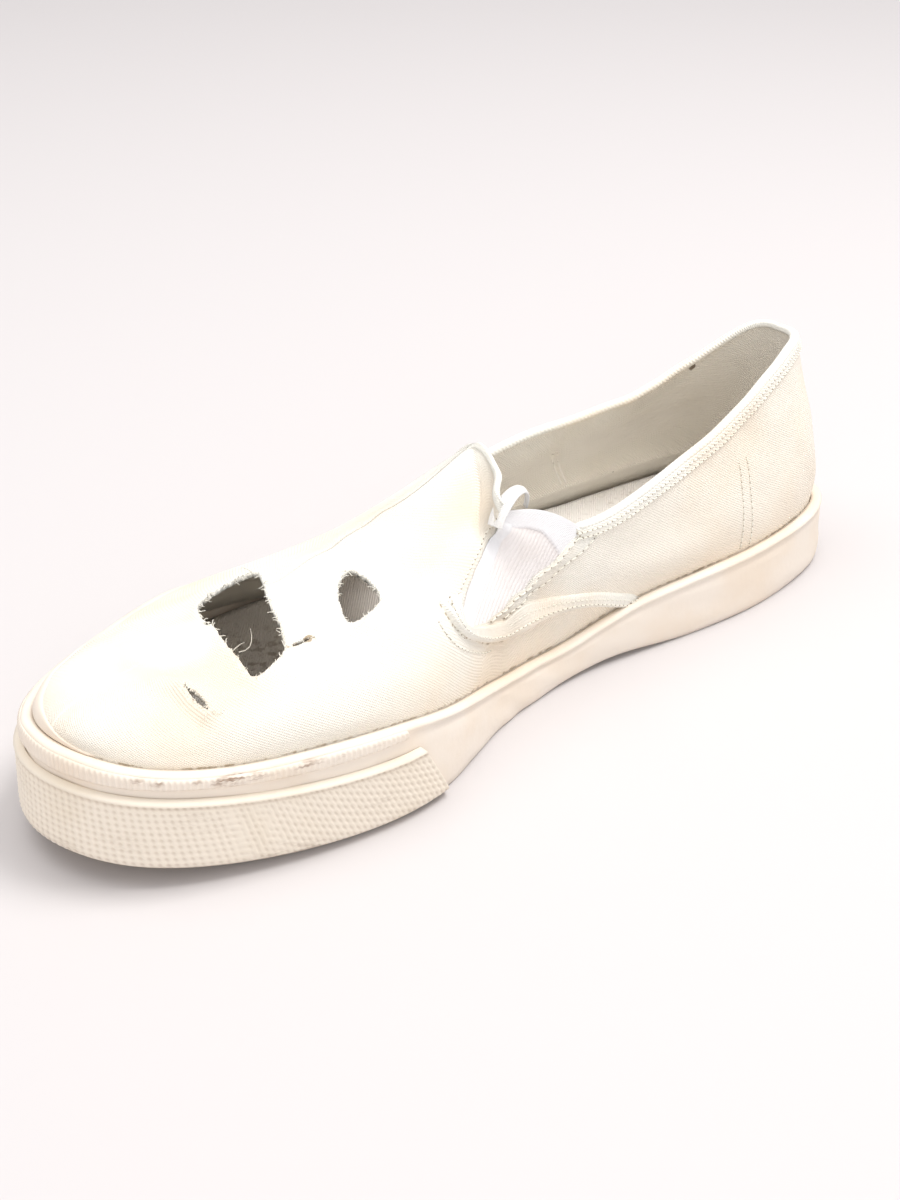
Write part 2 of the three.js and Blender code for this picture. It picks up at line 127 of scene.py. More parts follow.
lastScale = np.array([last["length"], last["ballWidth"], last["heelHeight"]])
outlineRows = around(last["tip"], last["innerOutline"], last["heel"], last["outerOutline"])
outlineAt = ringCurve(outlineRows * lastScale[:2])
foxingRows = np.array(last["foxingHeights"] + last["foxingHeights"][1:-1][::-1], float)[:, None]
foxingCurve = ringCurve(foxingRows)
startAt = ringCurve(around(last["tipStart"], last["innerStart"], last["heelStart"], last["outerStart"]))
ridgeRows = np.array(last["ridge"]) * [last["length"], last["ballWidth"], last["instepHeight"], 1]
ridgeAt = naturalCurve(np.concatenate([ridgeRows[::-1], ridgeRows[1:]]))
ridgeHandle = naturalCurve(mirrored(
    [[f, s] for f, s in zip(last["ridgeForward"], last["innerSide"])],
    [[f, -s] for f, s in zip(last["ridgeForward"], last["outerSide"])]))
rimAt = ringCurve(np.concatenate([
    ridgeRows[-1:, :3], np.array(last["innerRim"] + [last["heelRim"]] + last["outerRim"][::-1]) * lastScale]))
flapDrop = last["ridgeForward"][-1] * last["ridge"][-1][3]
rimHandle = naturalCurve(
    [[last["ridgeForward"][-1], last["innerSide"][-1], flapDrop]] + last["innerEnd"] + [last["heelEnd"]]
    + last["outerEnd"][::-1] + [[last["ridgeForward"][-1], last["outerSide"][-1], flapDrop]])


def foxingTop(u):  # height of the rubber band above the underside
    return foxingCurve(u)[..., 0]


def lift(x):  # a square rise from the start of the toe spring, and a low smooth hump at the arch
    spring = np.maximum(x - last["springStart"], 0) / (last["length"] - 3 - last["springStart"])
    arch = np.minimum(np.abs(x - last["archMiddle"]) / last["archHalf"], 1)
    return last["toeSpring"] * spring ** 2 + last["archRise"] * (1 - arch * arch * (3 - 2 * arch))


def outward(u):  # the outline's direction, turned a quarter
    step = outlineAt(u + 0.001) - outlineAt(u - 0.001)
    turned = np.stack([step[..., 1], -step[..., 0]], -1)
    return turned / np.linalg.norm(turned, axis=-1)[..., None]


def soleSide(u, inset, height):  # outline drawn in by an inset, at a height over the underside
    flat = outlineAt(u) - outward(u) * np.asarray(inset)[..., None]
    return np.concatenate([flat, (lift(outlineAt(u)[..., 0]) + height)[..., None]], -1)


def foxingInset(u, height):  # rounded in at the foot, leaning in towards the top
    return last["foxingFoot"] * np.maximum(1 - height / 5, 0) ** 2 + last["foxingLean"] * height / foxingTop(u)


def signedStation(u):  # stations counted from the tip: positive on the inner side, negative on the outer
    u = np.mod(u, stations)
    return np.where(u > half, u - stations, u)


def sectionAt(u):  # four control points of the section: foxing, start, end, rim or ridge
    u = np.mod(u, stations)
    signed = signedStation(u)
    normal = outward(u)
    base = soleSide(u, 0 * u + last["foxingThickness"] + last["gap"] + last["foxingLean"], foxingTop(u))
    rise = startAt(u)
    start = base + np.concatenate([normal * rise[..., :1], rise[..., 1:]], -1)
    ridge = ridgeAt(np.clip(signed, -flap, flap) + flap)
    handle = ridgeHandle(np.clip(signed, -flap, flap) + flap)
    ridgeEnd = np.stack([handle[..., 0], handle[..., 1], handle[..., 0] * ridge[..., 3]], -1)
    along = np.clip(u, flap, stations - flap) - flap
    rim, reach = rimAt(along), rimHandle(along)
    blend = smooth(np.abs(signed) - flap)
    across = (1 - blend) * np.sign(signed) + blend * normal[..., 1]
    rimEnd = np.stack([
        reach[..., 0] + blend * normal[..., 0] * reach[..., 1], across * reach[..., 1], reach[..., 2]], -1)
    onRidge = (np.abs(signed) <= flap)[..., None]
    top = np.where(onRidge, ridge[..., :3], rim)
    return base, start, top + np.where(onRidge, ridgeEnd, rimEnd), top


def upperPoint(u, v):  # cubic Bezier from foxing to rim; below v = 0 a straight line down behind the foxing
    u, v = np.broadcast_arrays(np.asarray(u, float), np.asarray(v, float))
    a, b, c, d = sectionAt(u)
    t = np.maximum(v, 0)[..., None]
    s = 1 - t
    point = s ** 3 * a + 3 * s * s * t * b + 3 * s * t * t * c + t ** 3 * d
    inset = last["foxingThickness"] + last["gap"]
    low = soleSide(u, 0 * u + inset, 0 * u + last["soleThickness"] + last["hemGap"])
    under = np.maximum(-v, 0)[..., None]
    return point + (low - a) * under


def upperNormal(u, v):  # cross product of the two directions on the surface, taken just short of the ridge
    v = np.minimum(v, 0.97)
    along = upperPoint(u + 0.01, v) - upperPoint(u - 0.01, v)
    up = upperPoint(u, v + 0.01) - upperPoint(u, v - 0.01)
    normal = np.cross(along, up)
    return normal / np.maximum(np.linalg.norm(normal, axis=-1), 1e-9)[..., None]


def walkedAlong(line):  # length walked from the start of a line to each of its points
    return np.concatenate([[0], np.cumsum(np.linalg.norm(np.diff(line, axis=0), axis=1))])


def onSurface(u, v):  # millimetres on the unrolled surface
    return np.stack([np.asarray(u) * stationWidth, np.asarray(v) * wayUp], -1)


def toLine(points, line, signed=False):  # distance to a broken line; signed is positive on its left
    line = np.asarray(line, float)
    best = np.full(points.shape[:-1], 1e9)
    side = np.ones(points.shape[:-1])
    share = np.zeros(points.shape[:-1])
    for k, (a, b) in enumerate(zip(line[:-1], line[1:])):
        edge = b - a
        t = np.clip(((points - a) @ edge) / (edge @ edge), 0, 1)
        away = points - (a + t[..., None] * edge)
        distance = np.linalg.norm(away, axis=-1)
        near = distance < best
        best = np.where(near, distance, best)
        share = np.where(near, (k + t) / (len(line) - 1), share)
        if signed:
            turn = edge[0] * (points - a)[..., 1] - edge[1] * (points - a)[..., 0]
            side = np.where(near, np.where(turn >= 0, 1, -1), side)
    return best * side, share


def inside(points, ring):  # even count of crossings of a ray to the right means outside
    x, y = points[..., 0], points[..., 1]
    found = np.zeros(x.shape, bool)
    for (ax, ay), (bx, by) in zip(ring, np.roll(ring, -1, axis=0)):
        crosses = (ay > y) != (by > y)
        reach = ax + (y - ay) / np.where(by == ay, 1e-9, by - ay) * (bx - ax)
        found ^= crosses & (x < reach)
    return found


def softRing(corners, count, wobble, seed):  # a smooth closed line through corners, with a little unevenness
    ring = ringCurve(corners)(np.linspace(0, len(corners), count, endpoint=False))
    random = np.random.default_rng(seed)
    return ring + random.normal(0, wobble, ring.shape)


def place(points):  # millimetres of the shoe's frame to metres of the scene
    return (points - [last["originX"], last["originY"], 0]) / 1000


def makeMesh(name, points, faces, values=None, uv=None):  # values and uv belong to the points
    mesh = bpy.data.meshes.new(name)
    mesh.from_pydata(place(points.reshape(-1, 3)).tolist(), [], faces)
    mesh.validate()
    for key, value in (values or {}).items():
        layer = mesh.attributes.new(key, "FLOAT", "POINT")
        layer.data.foreach_set("value", np.ascontiguousarray(value.reshape(-1), np.float32))
    if uv is not None:
        corners = np.zeros(len(mesh.loops), np.int32)
        mesh.loops.foreach_get("vertex_index", corners)
        flat = uv.reshape(-1, 2)[corners].astype(np.float32)
        mesh.uv_layers.new(name="cloth").data.foreach_set("uv", flat.reshape(-1))
    mesh.shade_smooth()
    piece = bpy.data.objects.new(name, mesh)
    bpy.context.scene.collection.objects.link(piece)
    return piece


def gridFaces(rows, columns, ringRows=False, ringColumns=False):  # corners of each cell, as one array
    i = np.arange(rows if ringRows else rows - 1)[:, None]
    j = np.arange(columns if ringColumns else columns - 1)[None, :]
    a = i * columns + j
    b = (i + 1) % rows * columns + j
    c = (i + 1) % rows * columns + (j + 1) % columns
    d = i * columns + (j + 1) % columns
    return np.stack(np.broadcast_arrays(a, b, c, d), -1).reshape(-1, 4)


def sweptBody(name, loops, values, uv, ringRows=False):  # closed loops along a path, ends capped
    rows, columns = loops.shape[:2]
    faces = gridFaces(rows, columns, ringRows, True).tolist()
    if not ringRows:
        faces.append(list(range(columns)))
        faces.append(list(range(rows * columns - 1, (rows - 1) * columns - 1, -1)))
    return makeMesh(name, loops, faces, values, uv)


def rods(name, paths, radii, sides):  # many short round rods: paths is rods x points x 3
    count, steps = paths.shape[:2]
    ahead = np.gradient(paths, axis=1)
    ahead /= np.maximum(np.linalg.norm(ahead, axis=-1), 1e-9)[..., None]
    hint = np.where(np.abs(ahead[..., 2:]) > 0.9, [1.0, 0, 0], [0, 0, 1.0])
    across = np.cross(ahead, hint)
    across /= np.linalg.norm(across, axis=-1)[..., None]
    up = np.cross(across, ahead)
    turn = np.linspace(0, 2 * np.pi, sides, endpoint=False)
    ring = across[:, :, None] * np.cos(turn)[:, None] + up[:, :, None] * np.sin(turn)[:, None]
    points = paths[:, :, None] + ring * np.broadcast_to(radii, paths.shape[:2])[..., None, None]
    per = steps * sides
    first = np.arange(count)[:, None, None] * per
    walls = (gridFaces(steps, sides, False, True)[None, :, ::-1] + first).reshape(-1, 4).tolist()
    base = (np.arange(count) * per)[:, None]
    near = (base + np.arange(sides)[None]).tolist()
    far = (base + per - 1 - np.arange(sides)[None]).tolist()
    return makeMesh(name, points, walls + near + far)


def solid(piece, thickness, inner=0, rim=0):  # a wall grown inwards from the outer face
    wall = piece.modifiers.new("wall", "SOLIDIFY")
    wall.thickness = thickness / 1000
    wall.offset = -1
    wall.material_offset = inner
    wall.material_offset_rim = rim
    return piece


def finishPiece(piece, materials, slotName, *nodes):  # materials, body, slot, and the plain nodes it takes over; the slot is not used
    for m in materials:
        piece.data.materials.append(m)
    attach(piece, "root")
    if nodes:
        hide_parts(*nodes)
    return piece


def newMaterial(name, colour, roughness, sheen=0.0, specular=0.3):  # an even finish to build on
    made = bpy.data.materials.new(name)
    made.use_nodes = True
    shader = made.node_tree.nodes["Principled BSDF"]
    shader.inputs["Base Color"].default_value = (*colour, 1)
    shader.inputs["Roughness"].default_value = roughness
    shader.inputs["Sheen Weight"].default_value = sheen
    shader.inputs["Specular IOR Level"].default_value = specular
    return made, made.node_tree, shader


def node(tree, kind, **inputs):  # a new node with some of its sockets set
    made = tree.nodes.new(kind)
    for key, value in inputs.items():
        made.inputs[key].default_value = value
    return made


def objectNoise(tree, scale, detail):  # soft patches fixed to the piece
    coords = tree.nodes.new("ShaderNodeTexCoord")
    noise = node(tree, "ShaderNodeTexNoise", Scale=scale, Detail=detail)
    tree.links.new(coords.outputs["Object"], noise.inputs["Vector"])
    return noise.outputs["Fac"]


def ramp(tree, value, low, high):  # a soft step between two levels
    made = node(tree, "ShaderNodeMapRange", **{"From Min": low, "From Max": high})
    made.interpolation_type = "SMOOTHSTEP"
    tree.links.new(value, made.inputs["Value"])
    return made.outputs["Result"]


def mixColour(tree, share, first, second):  # first where the share is 0, second where it is 1
    made = tree.nodes.new("ShaderNodeMix")
    made.data_type = "RGBA"
    for socket, value in (("A", first), ("B", second)):
        target = [s for s in made.inputs if s.name == socket and s.type == "RGBA"][0]
        if isinstance(value, tuple):
            target.default_value = (*value, 1)
        else:
            tree.links.new(value, target)
    tree.links.new(share, made.inputs[0])
    return [s for s in made.outputs if s.type == "RGBA"][0]


def mathNode(tree, kind, first, second=0):  # numbers are set on the sockets, outputs are linked to them
    made = tree.nodes.new("ShaderNodeMath")
    made.operation = kind
    for k, value in enumerate((first, second)):
        if isinstance(value, (int, float)):
            made.inputs[k].default_value = value
        else:
            tree.links.new(value, made.inputs[k])
    return made.outputs[0]


def mixValue(tree, share, first, second):  # first where the share is 0, the plain second value where it is 1
    part = mathNode(tree, "MULTIPLY", first, mathNode(tree, "SUBTRACT", 1, share))
    return mathNode(tree, "ADD", part, mathNode(tree, "MULTIPLY", share, second))


def attribute(tree, name):  # a value stored on the piece's points
    made = tree.nodes.new("ShaderNodeAttribute")
    made.attribute_name = name
    return made.outputs["Fac"]


def addBump(tree, shader, height, distance, strength):  # stacked on any bump already there
    bump = node(tree, "ShaderNodeBump", Strength=strength, Distance=distance)
    tree.links.new(height, bump.inputs["Height"])
    previous = shader.inputs["Normal"]
    if previous.is_linked:
        tree.links.new(previous.links[0].from_socket, bump.inputs["Normal"])
    tree.links.new(bump.outputs["Normal"], previous)


def weaveHeight(tree, pitch):  # warp and weft as crossed waves on the cloth map, thread pitch in metres
    coords = tree.nodes.new("ShaderNodeTexCoord")
    split = tree.nodes.new("ShaderNodeSeparateXYZ")
    tree.links.new(coords.outputs["UV"], split.inputs[0])
    turns = [mathNode(tree, "MULTIPLY", split.outputs[k], 2 * np.pi / pitch) for k in (0, 1)]
    return mathNode(tree, "MULTIPLY", *[mathNode(tree, "SINE", turn) for turn in turns])


clothFinish = dict(roughness=0.92, sheen=0.25, specular=0.15, patches=22, specks=420, fibres=900)


def clothMaterial(name, clean, aged, soilAndShade, pitch, depth, soilAndShadeAt=(0.35, 0.75)):
    # clean cloth with aged patches, the aged colour laid on as yellowing and painted warm shade, specks of soil
    # and painted shade where the grime is, and a weave that fades where it is still
    look = clothFinish
    made, tree, shader = newMaterial(name, clean, look["roughness"], look["sheen"], look["specular"])
    patches = ramp(tree, objectNoise(tree, look["patches"], 4), 0.42, 0.72)
    specks = ramp(tree, objectNoise(tree, look["specks"], 2), 0.3, 0.7)
    soiledAndShaded = mathNode(tree, "MULTIPLY", attribute(tree, "grimeAndShade"), mathNode(tree, "ADD", specks, 0.45))
    # the aged colour also stands for painted warm shade in the troughs and on the lower sides
    yellowedAndShaded = mixColour(tree, attribute(tree, "yellowingAndShade"), mixColour(tree, patches, clean, aged), aged)
    # the soil colour stands for dirt and, under the welt and at torn edges, painted shade
    worn = ramp(tree, soiledAndShaded, *soilAndShadeAt)
    tree.links.new(mixColour(tree, worn, yellowedAndShaded, soilAndShade), shader.inputs["Base Color"])
    addBump(tree, shader, mixValue(tree, attribute(tree, "still"), weaveHeight(tree, pitch), 0.5), depth, 0.8)
    addBump(tree, shader, objectNoise(tree, look["fibres"], 2), depth, 0.35)
    return made


def streakNoise(tree, along, across):  # noise on the band's own map, drawn out along the band
    coords = tree.nodes.new("ShaderNodeTexCoord")
    stretch = node(tree, "ShaderNodeMapping", Scale=(along, across, 1))
    noise = node(tree, "ShaderNodeTexNoise", Scale=1, Detail=5, Roughness=0.65)
    tree.links.new(coords.outputs["UV"], stretch.inputs["Vector"])
    tree.links.new(stretch.outputs["Vector"], noise.inputs["Vector"])
    return noise.outputs["Fac"]


rubberFinish = dict(specular=0.35, patches=35, grain=500, grainDepth=0.00012, streaks=(160, 900), dulling=0.12,
                    soilAndShadeAt=(0.25, 1.25))


def rubberMaterial(name, clean, aged, soilAndShade, roughness=0.55, grooveShade=None):
    # clean rubber with aged and duller patches, soiled in streaks where the grime is, with painted shade in the
    # grooves
    look = rubberFinish
    made, tree, shader = newMaterial(name, clean, roughness, 0, look["specular"])
    patches = ramp(tree, objectNoise(tree, look["patches"], 4), 0.4, 0.7)
    body = mixColour(tree, patches, clean, aged)
    if grooveShade:
        # painted shade in the grooves
        body = mixColour(tree, attribute(tree, "grooveShade"), body, grooveShade)
    streaks = ramp(tree, streakNoise(tree, *look["streaks"]), 0.34, 0.6)
    soiledAndShaded = mathNode(tree, "MULTIPLY", attribute(tree, "grimeAndShade"), mathNode(tree, "ADD", streaks, 0.12))
    worn = ramp(tree, soiledAndShaded, *look["soilAndShadeAt"])
    tree.links.new(mixColour(tree, worn, body, soilAndShade), shader.inputs["Base Color"])
    duller = mathNode(tree, "MULTIPLY", patches, look["dulling"])
    tree.links.new(mathNode(tree, "ADD", duller, roughness), shader.inputs["Roughness"])
    addBump(tree, shader, objectNoise(tree, look["grain"], 4), look["grainDepth"], 0.5)
    return made


# clean, aged and soiled colours (on the canvas the aged and soiled colours also stand for painted shade), then
# pitch and depth of the weave, or roughness and the painted groove shade of the rubber
canvasCloth = clothMaterial("canvas", (0.92, 0.9, 0.83), (0.92, 0.8, 0.65), (0.5, 0.4, 0.28), 0.001, 0.00015)
liningCloth = clothMaterial("lining", (0.94, 0.9, 0.82), (0.88, 0.82, 0.71), (0.22, 0.17, 0.12), 0.0009,
                            0.00015, soilAndShadeAt=(0.75, 1.1))
tornEdge = clothMaterial("tornEdge", (0.95, 0.93, 0.86), (0.86, 0.81, 0.7), (0.4, 0.32, 0.24), 0.0005, 0.0002)
elasticCloth = clothMaterial("elastic", (0.9, 0.89, 0.88), (0.86, 0.82, 0.79), (0.4, 0.33, 0.3), 0.0007, 0.0001)
sockCloth = clothMaterial("sockLiner", (0.93, 0.89, 0.84), (0.86, 0.81, 0.75), (0.5, 0.44, 0.38), 0.001, 0.0002)
creamRubber = rubberMaterial("creamRubber", (0.86, 0.78, 0.69), (0.84, 0.73, 0.61), (0.4, 0.29, 0.22))
# the bumper's last colour is the painted shade of its grooves
bumperRubber = rubberMaterial("bumperRubber", (0.88, 0.8, 0.69), (0.83, 0.74, 0.61), (0.45, 0.36, 0.28), 0.6,
                              (0.55, 0.45, 0.35))
soleRubber = rubberMaterial("soleRubber", (0.6, 0.5, 0.38), (0.5, 0.4, 0.3), (0.25, 0.18, 0.12), 0.7)
threadCloth = clothMaterial("thread", (0.88, 0.85, 0.76), (0.8, 0.74, 0.62), (0.3, 0.24, 0.18), 0.0004, 0.00005)
# dark colour painted as the shade inside the needle's holes
needleShade = newMaterial("needleHoleShade", (0.36, 0.3, 0.23), 0.9)[0]
print("materials ready")


seams = dict(
    collarWidth=4.4, bandHeight=0.55, sink=0.35,
    frontLow=[(10.0, 0.93), (9.82, 0.8), (9.64, 0.668), (9.34, 0.55), (9.05, 0.43), (8.48, 0.35), (7.95, 0.295),
              (7.5, 0.268), (7.16, 0.25)],
    frontHigh=[(10.32, 0.9), (10.1, 0.77), (9.89, 0.687), (9.71, 0.59), (9.52, 0.499), (9.22, 0.415),
               (8.95, 0.344), (8.47, 0.3), (7.99, 0.259)],
    weltLow=[(6.04, 0.46), (6.09, 0.421), (6.2, 0.349), (6.5, 0.259), (7.03, 0.186), (7.45, 0.168),
             (7.92, 0.165), (8.7, 0.179), (9.16, 0.206), (9.55, 0.232), (9.86, 0.22), (10.18, 0.14),
             (10.5, 0.02), (10.66, -0.04)],
    weltHigh=[(6.5, 0.43), (6.46, 0.39), (6.49, 0.33), (6.67, 0.277), (7.16, 0.24), (7.56, 0.246),
              (7.99, 0.259), (8.95, 0.344), (9.3, 0.358), (9.62, 0.358), (10.03, 0.308), (10.42, 0.17),
              (10.68, 0.05), (10.78, -0.04)],
    vampEdge=[(8.93, 0.93), (8.62, 0.83), (7.9, 0.665), (7.2, 0.556), (6.72, 0.485), (6.42, 0.44), (6.24, 0.39),
              (6.27, 0.32), (6.45, 0.26)],
    flapLow=[(6.87, 1.0), (7.05, 0.962), (7.3, 0.95), (7.6, 0.945), (8, 0.94), (8.5, 0.93), (8.88, 0.92)],
    flapHigh=[(7.0, 1.0), (7.18, 1.0), (7.4, 1.0), (7.7, 1.0), (8.1, 1.0), (8.55, 1.0), (8.95, 1.0)],
    counter=[(11.99, 0.7), (11.97, 0.6), (11.9, 0.36), (11.86, 0.03)],
    counterBehind=[(12.1, 0.7), (12.08, 0.6), (12.01, 0.36), (11.97, 0.03)],
)

canvas = dict(
    fine=20, coarse=10, fineEnd=10.5, levels=76, skirt=[-0.5, -0.2, -0.06], thickness=1.3,
    foreHeight=36, foreStation=8, lipWidth=2.6, ripple=0.22,
    crestReach=16, crestRounds=45, crestShare=0.5,
    # soft ridges and troughs seen from above: line (along, across), half width, height, all in millimetres
    folds=[
        ([(138, 3), (146, 7), (154, 10), (164, 13), (175, 16), (184, 19), (191, 20)], 8.5, -2.4),
        ([(151, 18), (156, 19), (163, 22), (173, 27), (183, 32), (194, 36)], 5.5, 1.3),
        ([(189, -6), (183, -2.5), (178, 0)], 2.2, 0.9),
        ([(192, -3), (186, 1), (180, 3)], 2.4, -0.7),
        ([(174, -4), (167, 0)], 2, 0.7),
        ([(258, 6), (255, 11), (252, 16), (249, 22)], 3.2, 0.9),
        ([(256, 18), (255, 25), (253, 31)], 3, -0.8),
        ([(249, 24), (245, 26), (239, 28)], 2.6, 0.8),
        ([(282, 8), (270, 12), (260, 10)], 6, 0.8),
        ([(270, 22), (262, 25), (252, 32)], 6, -0.9),
        ([(238, 36), (222, 38), (204, 40)], 8, 0.7),
        ([(215, 33), (202, 32), (190, 36)], 7, -0.8),
        ([(230, -28), (214, -32), (198, -30)], 8, -0.9),
        ([(205, -14), (198, -6), (196, 2)], 6, 0.8),
    ],
    # the same seen from the side: line (along, height)
    sideFolds=[
        ([(118, 42), (98, 36), (76, 40)], 6, -0.8),
        ([(112, 30), (90, 26), (70, 30)], 5, 0.7),
        ([(52, 62), (47, 45), (46, 28)], 6, -0.7),
        ([(30, 60), (26, 40)], 6, 0.6),
        ([(150, 34), (140, 30), (128, 33)], 5, -0.6),
    ],
    largeHole=[
        (208, -12), (212, -15.5), (220, -15), (226, -12), (230, -8), (232, -2), (232.5, 3), (234, 8),
        (235.2, 14), (236.3, 20), (236.8, 25), (232, 25.2), (226, 23.5), (223.5, 20.5), (220.5, 15), (217, 6.5),
        (212.5, -2.5)],
    smallHole=[
        (193, 10), (195.5, 10.2), (198.5, 12.2), (202, 16), (204, 20), (205.3, 25), (199.5, 25), (195.5, 24.2),
        (192.8, 22), (191.8, 17), (192, 13)],
    slit=[(252.2, 16.8), (252.6, 19.5), (252.6, 22.8), (251.6, 26), (251.1, 23.4), (251.4, 20)],
    nick=[(225, 22.9), (221, 23.4), (217.4, 23.4), (217.2, 22.8), (221, 22.55)],
    gore=[
        (9.18, 1.06), (10, 1.06), (10, 0.964), (10, 0.897), (9.64, 0.668), (9.05, 0.43), (7.95, 0.295),
        (7.16, 0.25), (6.63, 0.274), (6.45, 0.32), (6.44, 0.356), (6.58, 0.418), (6.9, 0.477), (7.76, 0.6),
        (8.87, 0.873)],
)
holeRings = [softRing(canvas["largeHole"], 220, 0.16, 3), softRing(canvas["smallHole"], 120, 0.14, 4),
             softRing(canvas["slit"], 60, 0.03, 5), softRing(canvas["nick"], 40, 0.02, 6)]
lipHeights = [0.8, 0.7, 1.2, 0.5]
goreRing = np.array(canvas["gore"]) * [stationWidth, wayUp]


def taper(share):  # rises from both ends of a fold and is full over its middle
    return smooth(share / 0.28) * smooth((1 - share) / 0.28)


def foldHeight(flat, folds):  # sum of bell-shaped ridges along broken lines
    total = np.zeros(flat.shape[:-1])
    for line, width, height in folds:
        distance, share = toLine(flat, line)
        total += height * np.exp(-(distance / width) ** 2) * (0.25 + 0.75 * taper(share))
    return total


def upperRelief(u, v, base):  # folds of the worn cloth, and lips round what is torn; nothing behind the foxing
    signed = signedStation(u)
    front = smooth((9.2 - np.abs(signed)) / 1.2)
    relief = foldHeight(base[..., :2], canvas["folds"]) * front
    relief += foldHeight(base[..., [0, 2]], canvas["sideFolds"]) * (1 - front)
    onFore = front * (base[..., 2] > canvas["foreHeight"])
    for ring, lip in zip(holeRings, lipHeights):
        distance = toLine(base[..., :2], np.concatenate([ring, ring[:1]])[::3])[0]
        relief += lip * np.exp(-(distance / canvas["lipWidth"]) ** 2) * onFore
    x, y, z = np.moveaxis(base, -1, 0)
    relief += canvas["ripple"] * (np.sin(x * 0.21 + y * 0.13) * np.sin(y * 0.19 - z * 0.23))
    return relief * smooth(v / 0.12)


def skin(u, v, proud=0.0):  # the worn outer face, and a distance above it
    u, v = np.broadcast_arrays(np.asarray(u, float), np.asarray(v, float))
    base = upperPoint(u, v)
    normal = upperNormal(u, v)
    onTop = (np.abs(signedStation(u)) <= flap) & (v >= 0.999)
    both = normal + upperNormal(-u, v)
    both /= np.linalg.norm(both, axis=-1)[..., None]
    normal = np.where(onTop[..., None], both, normal)
    return base + normal * (upperRelief(u, v, base) + proud)[..., None]


def nearestOn(points, ring):  # nearest point of a closed line
    best = np.full(len(points), 1e9)
    found = points.copy()
    for a, b in zip(ring, np.roll(ring, -1, axis=0)):
        edge = b - a
        t = np.clip(((points - a) @ edge) / max(edge @ edge, 1e-9), 0, 1)
        candidate = a + t[:, None] * edge
        distance = np.linalg.norm(points - candidate, axis=-1)
        near = distance < best
        best = np.where(near, distance, best)
        found = np.where(near[:, None], candidate, found)
    return found


def roundRidge(points, u):  # the crest softened: each point drawn towards its neighbours across the ridge
    reach = canvas["crestReach"]
    for row in np.flatnonzero(u < flap):
        other = (len(u) - row) % len(u)
        across = np.concatenate([points[row, -reach:], points[other, -reach:-1][::-1]])
        share = canvas["crestShare"] * smooth((flap - u[row]) / 0.9)
        for _ in range(canvas["crestRounds"]):
            middle = (across[:-2] + across[2:]) / 2
            across[1:-1] += share * (middle - across[1:-1])
        points[row, -reach:] = across[:reach]
        points[other, -reach:] = across[reach - 1:][::-1]
    return points


def upperRows():  # stations of the grid, close together round the front and wider apart at the heel
    side = np.linspace(0, canvas["fineEnd"], int(canvas["fineEnd"] * canvas["fine"]) + 1)
    backCount = int((stations - 2 * canvas["fineEnd"]) * canvas["coarse"])
    back = np.linspace(canvas["fineEnd"], stations - canvas["fineEnd"], backCount + 1)[1:-1]
    return np.concatenate([side, back, stations - side[1:][::-1]])


def clothMap(u, vv):  # even millimetres round the outline from the tip, and down from the rim, in metres
    walked = walkedAlong(outlineAt(u))
    tall = np.linalg.norm(upperPoint(u, 1) - upperPoint(u, 0), axis=-1) * 1.1
    even = np.minimum(walked, walked[-1] - walked)
    return np.stack([np.broadcast_to(even[:, None], vv.shape), (1 - vv) * tall[:, None]], -1) / 1000


